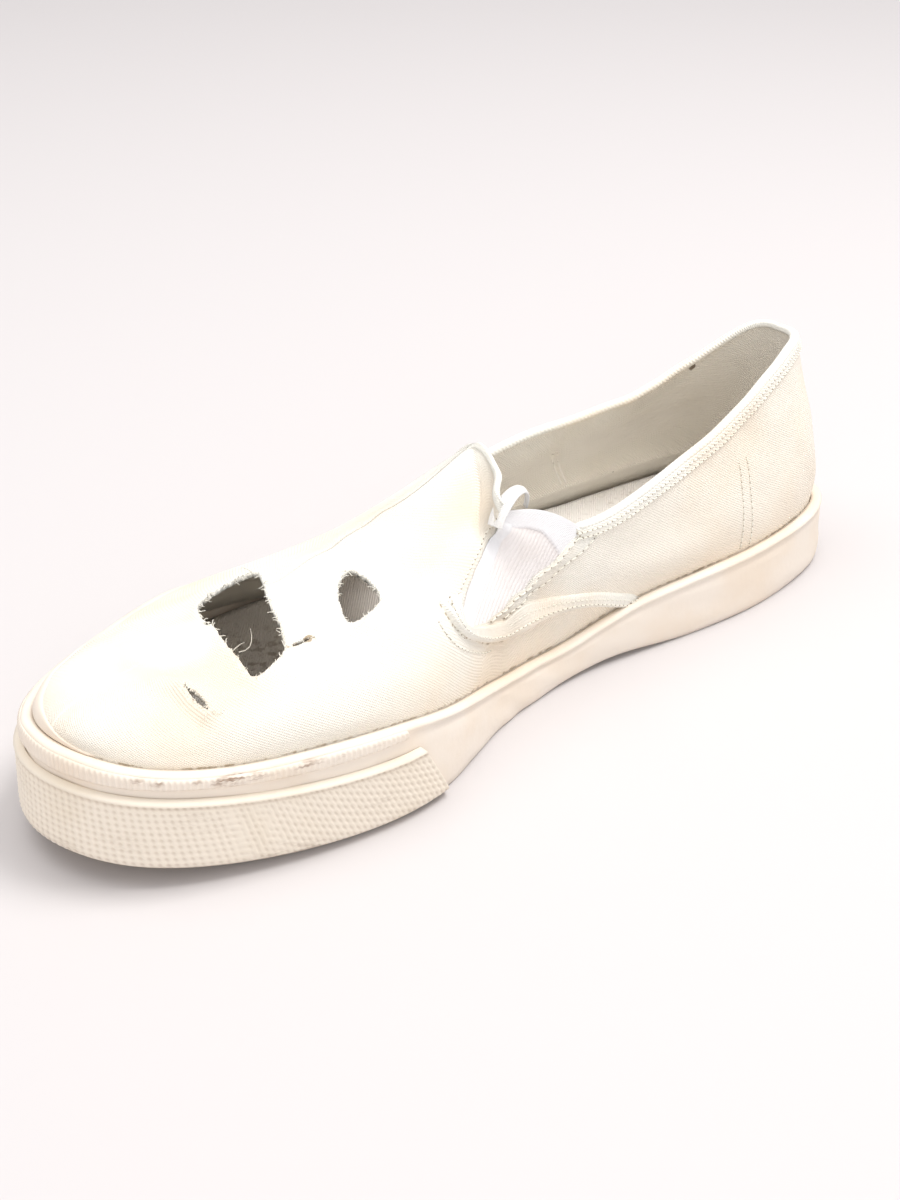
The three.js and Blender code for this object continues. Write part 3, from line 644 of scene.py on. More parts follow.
def makeUpper():
    # one sheet on a grid, with its gores and holes cut out and their edges drawn on to the true lines
    u = upperRows()
    v = np.concatenate([canvas["skirt"], np.linspace(0, 1, canvas["levels"])])
    rows, columns = len(u), len(v)
    uu, vv = [g.copy() for g in np.meshgrid(u, v, indexing="ij")]
    faces = gridFaces(rows, columns, True)
    signed = signedStation(uu).reshape(-1)
    spots = onSurface(uu, vv).reshape(-1, 2)
    spots[:, 0] = np.where(signed < 0, stations * stationWidth - spots[:, 0], spots[:, 0])
    keep = ~inside(spots[faces].mean(1), goreRing)
    goreCut = ~keep
    planCentre = upperPoint(uu, vv).reshape(-1, 3)[faces].mean(1)
    front = (np.abs(signed)[faces].mean(1) < canvas["foreStation"]) & (planCentre[:, 2] > canvas["foreHeight"])
    cuts = [inside(planCentre[:, :2], ring) & front for ring in holeRings]
    for cut in cuts:
        keep &= ~cut

    def border(cut):  # points shared by faces that go and faces that stay
        return np.intersect1d(np.unique(faces[cut]), np.unique(faces[keep]))

    edge = border(goreCut)
    moved = nearestOn(spots[edge], goreRing)
    newU = moved[:, 0] / stationWidth
    uu.reshape(-1)[edge] = np.where(signed[edge] < 0, stations - newU, newU)
    vv.reshape(-1)[edge] = np.minimum(moved[:, 1] / wayUp, 1)
    points = roundRidge(skin(uu, vv), u).reshape(-1, 3)
    normals = upperNormal(uu, vv).reshape(-1, 3)
    for cut, ring in zip(cuts, holeRings):
        edge = border(cut)
        shift = nearestOn(points[edge, :2], ring) - points[edge, :2]
        points[edge, :2] += shift
        points[edge, 2] -= (normals[edge, :2] * shift).sum(-1) / normals[edge, 2]

    # both sides share their points along the ridge
    index = np.arange(rows * columns)
    joined = np.flatnonzero((signedStation(u) < 0) & (np.abs(signedStation(u)) <= flap + 1e-6))
    index[joined * columns + columns - 1] = (rows - joined) * columns + columns - 1
    kept = index[faces[keep]]
    used, compact = np.unique(kept, return_inverse=True)
    ridgeStart = ridgeRows[0, :2] + [-2, 0]
    values = dict(
        # dirt, with painted shade under the welt and along the torn edges
        grimeAndShade=canvasGrimeAndShade(points, uu.reshape(-1), vv.reshape(-1))[used],
        # painted warm shade, with some yellowing of the cloth
        yellowingAndShade=canvasYellowingAndShade(points, uu.reshape(-1), vv.reshape(-1))[used],
        still=1 - smooth(np.linalg.norm(points[used, :2] - ridgeStart, axis=1) / 9 - 0.5))
    piece = makeMesh("canvas_upper", points[used], compact.reshape(kept.shape).tolist(), values,
                     clothMap(u, vv).reshape(-1, 2)[used])
    solid(piece, canvas["thickness"], 1, 2)
    return finishPiece(piece, [canvasCloth, liningCloth, tornEdge], "canvas", "upper")


def spot(points, middle, size):  # a round soft patch
    return np.exp(-(np.linalg.norm(points - middle, axis=-1) / size) ** 2)


# soft patches as (middle, size, amount): marks of dirt, and yellowed cloth with painted warm shade
wear = dict(
    footDirt=0.45, footDirtHeight=0.016, weltShadowAndDirt=0.8, weltShadowWidth=0.45, holeShadeAndDirt=(0.15, 0.15, 0.35, 0.5),
    marks=[((217, 23, 46), 1.1, 1.3), ((183, 1, 56), 0.9, 0.8), ((241, 26, 42), 1.3, 0.4),
           ((24, -21, 54.5), 2.6, 1.4), ((34, -24, 51), 2.2, 1.2)],
    # yellowed cloth and painted warm shade: by the flap's trough, and on the sides
    yellowedAndShaded=[((262, 26, 38), 16, 0.4), ((200, 36, 40), 14, 0.2), ((152, 14, 60), 12, 0.7),
              ((170, 22, 50), 9, 0.55)],
)


def canvasGrimeAndShade(points, u, v):  # dirt along the rubber, a painted shadow with dirt under the welt's edge, painted shade with dirt round the holes, and a few marks
    low = np.exp(-(v / wear["footDirtHeight"]) ** 2)
    grimeAndShade = (wear["footDirt"] + 0.25 * np.sin(u * 2.9) ** 2) * low
    flat = onSurface(np.abs(signedStation(u)), v)
    # a painted shadow, with some dirt, under the folded edge of the welt
    distance = toLine(flat, np.array(seams["weltLow"]) * [stationWidth, wayUp])[0]
    grimeAndShade += wear["weltShadowAndDirt"] * np.exp(-(distance / wear["weltShadowWidth"]) ** 2)
    # painted shade with some dirt along the torn edges, darkest at the narrow slit and nick
    for ring, amount in zip(holeRings, wear["holeShadeAndDirt"]):
        distance = toLine(points[:, :2], np.concatenate([ring, ring[:1]])[::3])[0]
        grimeAndShade += amount * np.exp(-(distance / 0.6) ** 2) * (points[:, 2] > canvas["foreHeight"])
    for middle, size, amount in wear["marks"]:
        grimeAndShade += amount * spot(points, np.array(middle), size)
    return np.clip(grimeAndShade, 0, 1.4)


def canvasYellowingAndShade(points, u, v):  # painted warm shade in the troughs and low down on the sides, and yellower towards the heel
    backward = np.abs(signedStation(u))
    # painted warm shade in the troughs of the folds
    yellowingAndShade = 0.4 * np.clip(-foldHeight(points[:, :2], canvas["folds"]) / 2.2, 0, 1)
    # painted warm shade low down on the sides
    yellowingAndShade += 0.35 * smooth((0.5 - v) / 0.5) * smooth((backward - 1.5) / 4)
    yellowingAndShade += 0.35 * smooth((backward - 8.5) / 3)
    # soft patches of yellowing and painted warm shade
    for middle, size, amount in wear["yellowedAndShaded"]:
        yellowingAndShade += amount * spot(points, np.array(middle), size)
    return np.clip(yellowingAndShade, 0, 1)


makeUpper()
print("canvas upper made")


def otherSide(u, v, side):  # a line of the inner side, or its mirror on the outer side
    return (u, v) if side > 0 else (stations - u, v)


def alongLine(line, count):  # equally spaced spots of a smooth line through corners
    curve = naturalCurve(line)(np.linspace(0, len(line) - 1, 40 * len(line)))
    walked = walkedAlong(onSurface(*curve.T))
    at = np.linspace(0, walked[-1], count)
    return np.stack([np.interp(at, walked, curve[:, k]) for k in (0, 1)], -1)


def bandBetween(name, low, high, side, rows, height, slotName="canvas", cloth=canvasCloth, lean=0.0, wide=9):
    # a thin strip of cloth between two lines of the surface, full in the middle and rounded at both edges;
    # lean makes the low edge the proud one
    low, high = alongLine(low, rows), alongLine(high, rows)
    t = np.linspace(0, 1, wide)
    mixed = low[:, None] * (1 - t)[None, :, None] + high[:, None] * t[None, :, None]
    rounded = (1 - (2 * t - 1) ** 6) ** 0.5
    ends = smooth(np.minimum(np.arange(rows), np.arange(rows)[::-1]) / 5)[:, None]
    proud = height * rounded * (1 - lean * t) * (0.25 + 0.75 * ends)
    topSheet = skin(*otherSide(mixed[..., 0], mixed[..., 1], side), proud)
    under = skin(*otherSide(mixed[..., 0], mixed[..., 1], side), -seams["sink"])[:, ::-1]
    loops = np.concatenate([topSheet, under], 1)
    if side > 0:
        loops = loops[:, ::-1]
    across = np.concatenate([t, t[::-1]]) * 0.005
    cloths = np.stack(np.broadcast_arrays(np.arange(rows)[:, None] * 0.0009, across[None]), -1)
    piece = sweptBody(name, loops, {"grimeAndShade": np.full(loops.shape[:2], 0.12)}, uv=cloths)
    return finishPiece(piece, [cloth], slotName)


# share of the pitch that the thread spans, its height at its ends, shoulders and middle, and the needle's hole,
# a dark rod painted as its shade
stitching = dict(pitch=1.9, widePitch=2.5, reach=0.72, radius=0.22, ends=-0.25, shoulders=0.12, middle=0.14,
                 hole=0.22)
stitchPaths, holeShadePaths = [], []


def stitchRow(line, side, proud=0.0, pitch=stitching["pitch"]):
    # thread from hole to hole along a line of the surface, with a dark rod at each end as the painted shade of
    # the needle's hole
    line = np.asarray(line, float)
    dense = naturalCurve(line)(np.linspace(0, len(line) - 1, 60 * len(line)))
    u, v = otherSide(dense[:, 0], dense[:, 1], side)
    walked = walkedAlong(skin(u, v, proud))
    count = int(walked[-1] / pitch)
    share = np.array([-0.5, -0.3, 0, 0.3, 0.5]) * stitching["reach"]
    at = (np.arange(count)[:, None] + 0.5 + share) * walked[-1] / count
    arch = np.array([stitching[key] for key in ("ends", "shoulders", "middle", "shoulders", "ends")])
    uu, vv = np.interp(at, walked, u), np.interp(at, walked, v)
    stitchPaths.append(skin(uu, vv, proud + arch))
    ends = np.arange(count + 1) * walked[-1] / count
    uEnd, vEnd = np.interp(ends, walked, u)[:, None], np.interp(ends, walked, v)[:, None]
    holeShadePaths.append(skin(uEnd, vEnd, proud + np.array([-0.35, 0.1])))


def acrossSection(u):  # millimetres of the way up at a station
    return np.linalg.norm(upperPoint(u, 1.0) - upperPoint(u, 0.0), axis=-1) * 1.08


def shifted(line, share, other):  # a line between two others
    return np.array(line) * (1 - share) + np.array(other) * share


def makeSeams():  # bindings of the collar, the flap and the gore's back edge, the welt, and their stitches
    rear = np.linspace(10.02, stations - 10.02, 260)
    low = np.stack([rear, 1 - seams["collarWidth"] / acrossSection(rear)], -1)
    high = np.stack([rear, np.full(len(rear), 1.0)], -1)
    bandBetween("collar_band", low, high, 1, 260, seams["bandHeight"])
    stitchRow(shifted(low, 0.16, high), 1, seams["bandHeight"])
    stitchRow(shifted(low, 0.6, high), 1, seams["bandHeight"])
    for side in (1, -1):
        name = "inner" if side > 0 else "outer"
        bandBetween("flap_band_" + name, seams["flapLow"], seams["flapHigh"], side, 60, 0.55)
        bandBetween("front_band_" + name, seams["frontLow"], seams["frontHigh"], side, 70, 0.4)
        stitchRow(shifted(seams["frontLow"], 0.16, seams["frontHigh"]), side, 0.4, stitching["widePitch"])
        stitchRow(shifted(seams["frontLow"], 0.86, seams["frontHigh"]), side, 0.4, stitching["widePitch"])
        first = 0 if side > 0 else 3
        weltLow, weltHigh = seams["weltLow"][first:], seams["weltHigh"][first:]
        bandBetween("welt_" + name, weltLow, weltHigh, side, 130, 2.1, lean=0.6, wide=19)
        stitchRow(shifted(weltLow, 0.28, weltHigh), side, 1.7)
        stitchRow(shifted(seams["weltLow"][6:], 0.62, seams["weltHigh"][6:]), side, 1.15)
        stitchRow(np.array(seams["weltLow"][first + 1:6]) - [0.14, 0.03], side)
        stitchRow(seams["vampEdge"][first:], side)
        stitchRow(seams["counter"], side)
        stitchRow(seams["counterBehind"], side)


def rimRoll(name, u, radius):  # a soft round roll along the edge of the cloth
    turn = np.linspace(0, 2 * np.pi, 10, endpoint=False)
    centre = skin(u, 0 * u + 1.0, 0.45 - radius)
    ahead = np.gradient(centre, axis=0)
    ahead /= np.linalg.norm(ahead, axis=-1)[:, None]
    out = upperNormal(u, 0 * u + 1.0)
    up = np.cross(out, ahead)
    up /= np.linalg.norm(up, axis=-1)[:, None]
    ends = smooth(np.minimum(np.arange(len(u)), np.arange(len(u))[::-1]) / 4 + 0.2)[:, None, None]
    ring = out[:, None] * np.cos(turn)[:, None] * radius + up[:, None] * np.sin(turn)[:, None] * radius * 0.8
    loops = centre[:, None] + ring * ends
    cloths = np.stack(np.broadcast_arrays(np.arange(len(u))[:, None] * 0.001, turn[None] * 0.0005), -1)
    piece = sweptBody(name, loops, {"grimeAndShade": np.full(loops.shape[:2], 0.15)}, uv=cloths)
    return finishPiece(piece, [canvasCloth], "canvas")


def makeLiningSeam():  # two cords side by side, climbing the inside of the outer wall
    climb = np.linspace(0.05, 0.55, 16)
    leaning = 18.3 + 0.3 * climb
    cords = np.stack([skin(leaning, climb, -1.4), skin(leaning + 0.05, climb, -1.35)])
    finishPiece(rods("lining_seam", cords, np.full(len(climb), 0.3), 8), [liningCloth], "canvas")


makeSeams()
makeLiningSeam()
rimRoll("collar_roll", np.linspace(9.98, stations - 9.98, 240), 1.6)
rimRoll("flap_roll_inner", np.linspace(flap, 9.15, 40), 0.95)
rimRoll("flap_roll_outer", np.linspace(stations - 9.15, stations - flap, 40), 0.7)
print("seams made")


gore = dict(
    left=[(9.14, 1.0), (8.85, 0.87), (8.3, 0.73), (7.7, 0.6), (6.85, 0.475), (6.52, 0.42), (6.39, 0.35),
          (6.45, 0.3)],
    right=[(10.08, 1.0), (10.08, 0.88), (9.9, 0.76), (9.69, 0.65), (9.09, 0.415), (7.95, 0.277), (7.16, 0.23),
           (6.6, 0.26)],
    hem=[(8.0, 0.64), (8.38, 0.70), (8.88, 0.804), (9.21, 0.834), (9.44, 0.828), (9.65, 0.762), (10.0, 0.64)],
    depth=1.35, thickness=0.9, ribPitch=1.0, ribHeight=0.13, hemHeight=0.4, rows=150, columns=150,
    hemRise=2.6, swell=0.9, plainEdge=2.4,
    needleRadii=[0.36, 0.32],
)


def makeGore(side):
    # a panel ruled between its two edges, swollen in the middle, with a hem, a plain edge and ribs proud of it
    s = np.linspace(0, 1, gore["columns"])
    left, right = alongLine(gore["left"], gore["rows"]), alongLine(gore["right"], gore["rows"])
    grid = left[:, None] * (1 - s)[None, :, None] + right[:, None] * s[None, :, None]
    edges = [skin(*otherSide(line[:, 0], line[:, 1], side), -gore["depth"]) for line in (left, right)]
    panel = edges[0][:, None] * (1 - s)[None, :, None] + edges[1][:, None] * s[None, :, None]
    fall = np.linspace(0, 1, gore["rows"])[:, None]
    crown = np.sin(np.pi * s)[None]
    panel[..., 2] += gore["hemRise"] * crown * (1 - smooth(fall / 0.5))
    panel[..., 1] += side * gore["swell"] * crown * np.sin(np.pi * np.minimum(fall + 0.12, 1))
    normal = np.cross(np.gradient(panel, axis=0), np.gradient(panel, axis=1))
    normal *= np.sign(normal[..., 1:2] * side) / np.maximum(np.linalg.norm(normal, axis=-1), 1e-9)[..., None]
    flat = onSurface(grid[..., 0], grid[..., 1])
    down = panel[-1, 0] - panel[0, 0]
    sideways = np.cross(normal[len(s) // 2, len(s) // 3], down / np.linalg.norm(down))
    sideways *= np.sign(sideways @ (panel[0, -1] - panel[0, 0]))
    across = (panel - panel[0, 0]) @ sideways
    hemLine = np.array(gore["hem"]) * [stationWidth, wayUp]
    hem = smooth(toLine(flat, hemLine, True)[0] / 0.6 + 0.5)
    hem = np.maximum(hem, smooth((gore["plainEdge"] - across) / 0.5))
    ribs = np.cos(2 * np.pi * across / gore["ribPitch"])
    proud = hem * gore["hemHeight"] + (1 - hem) * gore["ribHeight"] * ribs
    points = panel + normal * proud[..., None]
    faces = gridFaces(*grid.shape[:2])
    if side > 0:
        faces = faces[:, ::-1]
    name = "inner" if side > 0 else "outer"
    piece = makeMesh("elastic_" + name, points, faces.tolist(),
                     {"grimeAndShade": 0.1 + 0.2 * (1 - hem), "hem": hem, "rib": ribs * (1 - hem)}, flat / 1000)
    solid(piece, gore["thickness"])
    finishPiece(piece, [elasticRibs], "elastic", "gore_" + name)
    if side > 0:
        # painted shade of the needle's holes: dark rods under the hem and down the plain edge
        columns = np.arange(20, gore["columns"] - 12, 4)
        hemRows = np.abs(toLine(flat, hemLine, True)[0] - 0.9).argmin(0)[columns]
        rows = np.arange(45, gore["rows"] - 8, 6)
        edgeColumns = np.abs(across - gore["plainEdge"] + 0.5).argmin(1)[rows]
        rows, columns = np.concatenate([hemRows, rows]), np.concatenate([columns, edgeColumns])
        at, out = points[rows, columns], normal[rows, columns]
        punchedShade = rods("gore_needle_hole_shade", np.stack([at - out * 0.3, at + out * 0.18], 1),
                       np.array(gore["needleRadii"]), 8)
        finishPiece(punchedShade, [needleShade], "elastic")


def elasticMaterial():  # pinkish between the ribs, white on them and on the hem
    made, tree, shader = newMaterial("elasticRibs", (0.84, 0.8, 0.8), 0.85, 0.2, 0.15)
    between = ramp(tree, attribute(tree, "rib"), -0.9, 0.5)
    ribbed = mixColour(tree, between, (0.74, 0.63, 0.62), (0.88, 0.84, 0.83))
    body = mixColour(tree, attribute(tree, "hem"), ribbed, (0.88, 0.88, 0.9))
    patches = ramp(tree, objectNoise(tree, 60, 4), 0.45, 0.75)
    tree.links.new(mixColour(tree, mathNode(tree, "MULTIPLY", patches, 0.35), body, (0.72, 0.64, 0.6)),
                   shader.inputs["Base Color"])
    addBump(tree, shader, weaveHeight(tree, 0.0007), 0.0001, 0.5)
    return made


elasticRibs = elasticMaterial()
for side in (1, -1):
    makeGore(side)


hemLoop = dict(
    path=[(152, 22.5, 56), (150.2, 22.3, 59.4), (147.6, 22.6, 62.6), (144.8, 23, 64.6), (141.8, 23, 64.2),
          (139.6, 22.2, 61.4), (139, 21, 57.5)],
    facing=[0.25, 0.9, -0.3], steps=60, startBreadth=3.2, endBreadth=1.0, thickness=0.45,
)


def makeLoop():  # a flat rounded tape along a path: the end of the hem, sprung up beside the vamp's corner
    steps = hemLoop["steps"]
    path = naturalCurve(hemLoop["path"])(np.linspace(0, len(hemLoop["path"]) - 1, steps))
    ahead = np.gradient(path, axis=0)
    ahead /= np.linalg.norm(ahead, axis=-1)[:, None]
    wide = np.tile(hemLoop["facing"], (steps, 1))
    wide -= (wide * ahead).sum(-1)[:, None] * ahead
    wide /= np.linalg.norm(wide, axis=-1)[:, None]
    thick = np.cross(wide, ahead) * hemLoop["thickness"]
    turn = np.linspace(0, 2 * np.pi, 14, endpoint=False)
    flatRing = np.sign(np.cos(turn)) * np.abs(np.cos(turn)) ** 0.6
    narrowing = (hemLoop["startBreadth"] - hemLoop["endBreadth"]) * smooth(np.linspace(-0.1, 1.1, steps))
    breadth = (hemLoop["startBreadth"] - narrowing)[:, None, None]
    loops = path[:, None] + wide[:, None] * flatRing[:, None] * breadth + thick[:, None] * np.sin(turn)[:, None]
    cloths = np.stack(np.broadcast_arrays(np.arange(steps)[:, None] * 0.0006, turn[None] * 0.0006), -1)
    piece = sweptBody("hem_loop", loops, {"grimeAndShade": np.full(loops.shape[:2], 0.1)}, uv=cloths)
    return finishPiece(piece, [elasticCloth], "elastic")


makeLoop()
print("gores made")


# heights in millimetres below the band's top, stretches in stations
rubbed = dict(below=1.6, width=1.1, slant=0.05, amount=0.75, first=1.1, final=4.9, strongest=3.15, outer=-1.9,
              outerAmount=0.5)


def rubMarks(u, high, top):  # slanting streaks of rubbing at the upper edge of the rubber round the toe
    signed = signedStation(u)
    slanted = signed + (top - high) * rubbed["slant"]
    edge = np.exp(-((top - rubbed["below"] - high) / rubbed["width"]) ** 2)
    streaks = 0.9 * np.sin(slanted * 11) * np.sin(slanted * 4.3 + 1) + 0.3 * np.sin(slanted * 27)
    broken = np.clip(0.25 + streaks, 0, 1)
    stretch = smooth((signed - rubbed["first"]) / 0.5) * smooth((rubbed["final"] - signed) / 0.6)
    strongest = np.exp(-((slanted - rubbed["strongest"]) / 0.3) ** 2)
    outer = np.exp(-((signed - rubbed["outer"]) / 0.7) ** 2)
    return edge * (rubbed["amount"] * (stretch * broken + strongest) + rubbed["outerAmount"] * outer)


# the profile's depths inwards from the outer face: foot and face, bead under the top, top edge, inner face
foxing = dict(rows=640, bead=0.2, waves=0.15, faceDepths=[0] * 8, beadDepths=[0.3, -0.02, -0.3, -0.12],
              topDepths=[0.5, 2.0], innerDepths=[2.75, 3.0, 3.05, 3.0], beadStart=5.0)


def makeFoxing():  # a closed profile carried round: rounded foot, outer face, bead, top, inner face
    u = np.linspace(0, stations, foxing["rows"], endpoint=False)[:, None]
    top = foxingTop(u[:, 0])[:, None]
    share = np.array([0.0, 0.1, 0.2, 0.35, 0.5, 0.65, 0.8, 0.92])
    height = np.concatenate([0.4 + share * (top - 2.8), top - 2.1, top - 1.5, top - 0.9, top - 0.35, top, top,
                             top - 0.2, top * 0.5 + 4.3, 0 * u + 8.3, 0 * u + 0.4], 1)
    quiet = smooth((np.abs(signedStation(u)) - foxing["beadStart"]) / 0.8)
    inset = foxingInset(u, height)
    profile = np.concatenate([foxing[key] for key in ("faceDepths", "beadDepths", "topDepths", "innerDepths")])
    offset = np.tile(profile, (len(u), 1))
    offset[:, 8] += 0.25 * quiet[:, 0]
    offset[:, 9:12] -= foxing["bead"] * quiet * np.array([0.5, 1, 0.7])
    ripple = np.sin(u * 2.3) * np.sin(height * 0.4 + u) + 0.6 * np.sin(u * 6.1 + height * 0.8)
    wave = foxing["waves"] * ripple * (np.arange(height.shape[1]) < 12)
    lean = last["foxingLean"] * height / top
    drawn = np.where(profile > 1.5, np.minimum(offset, last["foxingThickness"] + lean), inset + offset + wave)
    drawn[:, 12:14] = inset[:, 12:14] + np.array([0.6, 1.9])
    drawn[:, 14:17] = last["foxingThickness"] + last["foxingLean"] * np.array([0.97, 0.5, 0.1])
    points = soleSide(np.broadcast_to(u, height.shape), drawn, height)
    grimeAndShade = rubMarks(u, height, top) + 0.2 * np.exp(-(height / 2.5) ** 2)
    grimeAndShade += 0.25 * np.exp(-((height - top) / 1.0) ** 2)
    span = walkedAlong(outlineAt(u[:, 0]))[:, None]
    chart = np.stack([np.broadcast_to(span, height.shape), height], -1) / 1000
    piece = sweptBody("foxing_band", points[:, ::-1], {"grimeAndShade": np.clip(grimeAndShade, 0, 1.3)[:, ::-1]},
                      chart[:, ::-1], ringRows=True)
    return finishPiece(piece, [creamRubber], "foxing", "foxing")


def toeBand(band, slant, highAt, proudAt):
    # a dense band over the foxing round the tip, from its low edge up to highAt; proudAt shapes its face
    share = np.linspace(0, 1, band["columns"])[None]
    ends = band["reach"] + slant * (1 - share)
    step = np.linspace(0, 1, band["rows"])[:, None]
    u = -ends * (1 - step) + ends * step
    height = band["low"] + (highAt(u) - band["low"]) * share
    walked = walkedAlong(outlineAt(u[:, 0]))[:, None]
    face = soleSide(u, foxingInset(u, height) - last["gap"] - proudAt(u, height, walked, share), height)
    back = soleSide(u, foxingInset(u, height) - last["gap"] * 0.6, height)
    chart = np.stack([np.broadcast_to(walked, height.shape), height], -1) / 1000
    return u, height, np.concatenate([face, back[:, ::-1]], 1), np.concatenate([chart, chart[:, ::-1]], 1)


bumper = dict(rows=720, columns=52, reach=5.2, slant=0.45, proud=1.9, pitch=2.1, ribPitch=1.7, emboss=0.24,
              low=0.9, ridge=1.0, top=21.5, fall=2.5)


def bumperTop(u):  # highest at the tip, falling with the square of the stations from it
    return bumper["top"] - bumper["fall"] * np.minimum(np.abs(u) / 5, 1) ** 2


def embossing(u, height, walked):  # crossed slanting waves at the tip, upright ribs towards the ends
    slant = np.pi / bumper["pitch"]
    diamonds = np.cos((walked + 1.15 * height) * slant) * np.cos((walked - 1.15 * height) * slant)
    upright = 2 * np.pi / bumper["ribPitch"]
    ribs = 0.6 * np.cos(walked * upright) + 0.4 * np.cos((walked * 0.4 + height) * upright * 0.7)
    mixed = smooth((np.abs(u) - 2.2) / 1.8)
    return diamonds * (1 - mixed) + ribs * mixed


def bumperFace(u, height, walked, share):  # rounded at foot and top, embossed between foot and ridge
    top = bumperTop(u)
    ridge = smooth((height - (top - bumper["ridge"] - 0.5)) / 0.5)
    border = smooth((height - 1.6) / 0.8)
    rounded = 1 - smooth((height - (top - 0.75)) / 0.85) - 0.55 * smooth((2.6 - height) / 2.2)
    pattern = bumper["emboss"] * embossing(u, height, walked) * (1 - ridge) * border
    return bumper["proud"] * rounded + pattern + 0.4 * ridge * rounded


def makeBumper():
    u, height, loops, chart = toeBand(bumper, bumper["slant"], bumperTop, bumperFace)
    plain = smooth((height - bumperTop(u) + bumper["ridge"] + 0.3) / 0.4)
    walked = chart[:, :bumper["columns"], 0] * 1000
    # painted shade in the embossed grooves
    grooveShade = smooth((0.1 - embossing(u, height, walked)) / 1.1) * (1 - plain) * 0.45
    # a painted shade line at the foot of the ridge
    grooveShade += 0.5 * np.exp(-((height - bumperTop(u) + bumper["ridge"] + 0.7) / 0.35) ** 2)
    dirt = 0.25 + 0.2 * np.sin(u * 3.1) * np.sin(height * 0.35 + u) - 0.4 * plain
    dirt += 0.4 * np.exp(-(height / 3) ** 2)
    values = {key: np.clip(np.concatenate([value, value[:, ::-1]], 1), 0, 1)[:, ::-1]
              for key, value in (("grimeAndShade", dirt), ("grooveShade", grooveShade))}
    piece = sweptBody("toe_bumper_band", loops[:, ::-1], values, uv=chart[:, ::-1])
    return finishPiece(piece, [bumperRubber], "bumper", "toe_bumper")


strip = dict(rows=900, columns=10, reach=5, proud=0.7, pitch=1.5, rib=0.22, low=23.4, below=0.7)


def stripFace(u, height, walked, share):  # fine upright ribs, rounded off at both edges
    ribs = np.cos(walked * 2 * np.pi / strip["pitch"])
    edges = np.minimum(share, 1 - share) * 5
    return strip["proud"] * (0.3 + 0.7 * smooth(edges)) + strip["rib"] * ribs * smooth(edges)


def makeStrip():
    u, height, loops, chart = toeBand(strip, 0, lambda s: foxingTop(s) - strip["below"], stripFace)
    dirt = 0.25 + rubMarks(u, height, foxingTop(u)) + 0.25 * np.exp(-((height - strip["low"]) / 0.7) ** 2)
    values = np.concatenate([dirt, dirt[:, ::-1]], 1)
    piece = sweptBody("toe_strip_band", loops[:, ::-1], {"grimeAndShade": np.clip(values, 0, 1.3)[:, ::-1]},
                      uv=chart[:, ::-1])
    return finishPiece(piece, [creamRubber], "bumper", "toe_strip")


makeFoxing()
makeBumper()
makeStrip()


def makeTurnIn():  # the rubber drawn in over the canvas at the tip, highest on the outer side
    high = [(-4.4, 0.015), (-3.7, 0.08), (-3, 0.16), (-2.3, 0.22), (-1.55, 0.245), (-0.83, 0.21), (-0.24, 0.14),
            (0.17, 0.08), (0.56, 0.038), (1.05, 0.012)]
    low = [(u, -0.01) for u, _ in high]
    bandBetween("foxing_turn_in", low, high, 1, 160, 0.55, "foxing", creamRubber, wide=17)


makeTurnIn()
print("rubber made")


insole = dict(rows=150, columns=48, low=8.5, top=13.8, dish=1.3, rise=0.9, wall=1.8, room=0.9, crumple=0.15,
              prints=[(45, -1, 32, 22), (205, 2, 34, 34)])  # middles and half sizes of heel and ball


def makeInsole():  # rungs across the shoe, hollowed under heel and ball and turned up at the edges
    u = np.linspace(0.02, half - 0.02, insole["rows"])
    inset = last["foxingThickness"] + last["gap"] + insole["wall"] + insole["room"]
    inner = soleSide(u, 0 * u + inset, 0 * u + insole["top"])
    outer = soleSide(-u, 0 * u + inset, 0 * u + insole["top"])
    t = np.linspace(0, 1, insole["columns"])
    flat = inner[:, None] * (1 - t)[None, :, None] + outer[:, None] * t[None, :, None]
    flat[..., 2] = lift(flat[..., 0]) + insole["top"]
    x, y = flat[..., 0], flat[..., 1]
    prints = sum(np.exp(-((x - atX) / halfX) ** 2 - ((y - atY) / halfY) ** 2)
                 for atX, atY, halfX, halfY in insole["prints"])
    edge = np.abs(2 * t - 1)[None] ** 6
    flat[..., 2] += insole["rise"] * edge - insole["dish"] * prints * (1 - edge)
    flat[..., 2] += insole["crumple"] * np.sin(x * 0.3) * np.sin(y * 0.4)
    bottom = flat.copy()
    bottom[..., 2] = lift(flat[..., 0]) + insole["low"]
    loops = np.concatenate([flat, bottom[:, ::-1]], 1)
    worn = 0.25 + 0.45 * prints
    piece = sweptBody("sock_liner", loops, {"grimeAndShade": np.concatenate([worn, worn[:, ::-1]], 1)},
                      uv=loops[..., :2] / 1000)
    return finishPiece(piece, [sockCloth], "insole", "insole")


makeInsole()
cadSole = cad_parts["outsole"]
if not cadSole.material_slots:
    cadSole.data.materials.append(soleRubber)
for soleSlot in cadSole.material_slots:
    soleSlot.material = soleRubber
print("sole made")


frayed = dict(radius=0.16, thinEnd=0.55, steps=6, sunk=0.4)
surfaceU, surfaceV = np.meshgrid(np.linspace(-8, 8, 321), np.linspace(0.2, 1, 81), indexing="ij")
surfaceSpots = skin(surfaceU, surfaceV).reshape(-1, 3)


def heightOn(spots):  # height of the cloth over a spot, from the nearest points worked out on it
    away = ((spots[:, None] - surfaceSpots[None, :, :2]) ** 2).sum(-1)
    away = np.where(surfaceSpots[None, :, 2] < canvas["foreHeight"], 1e9, away)
    return surfaceSpots[away.argmin(1), 2] - frayed["sunk"]


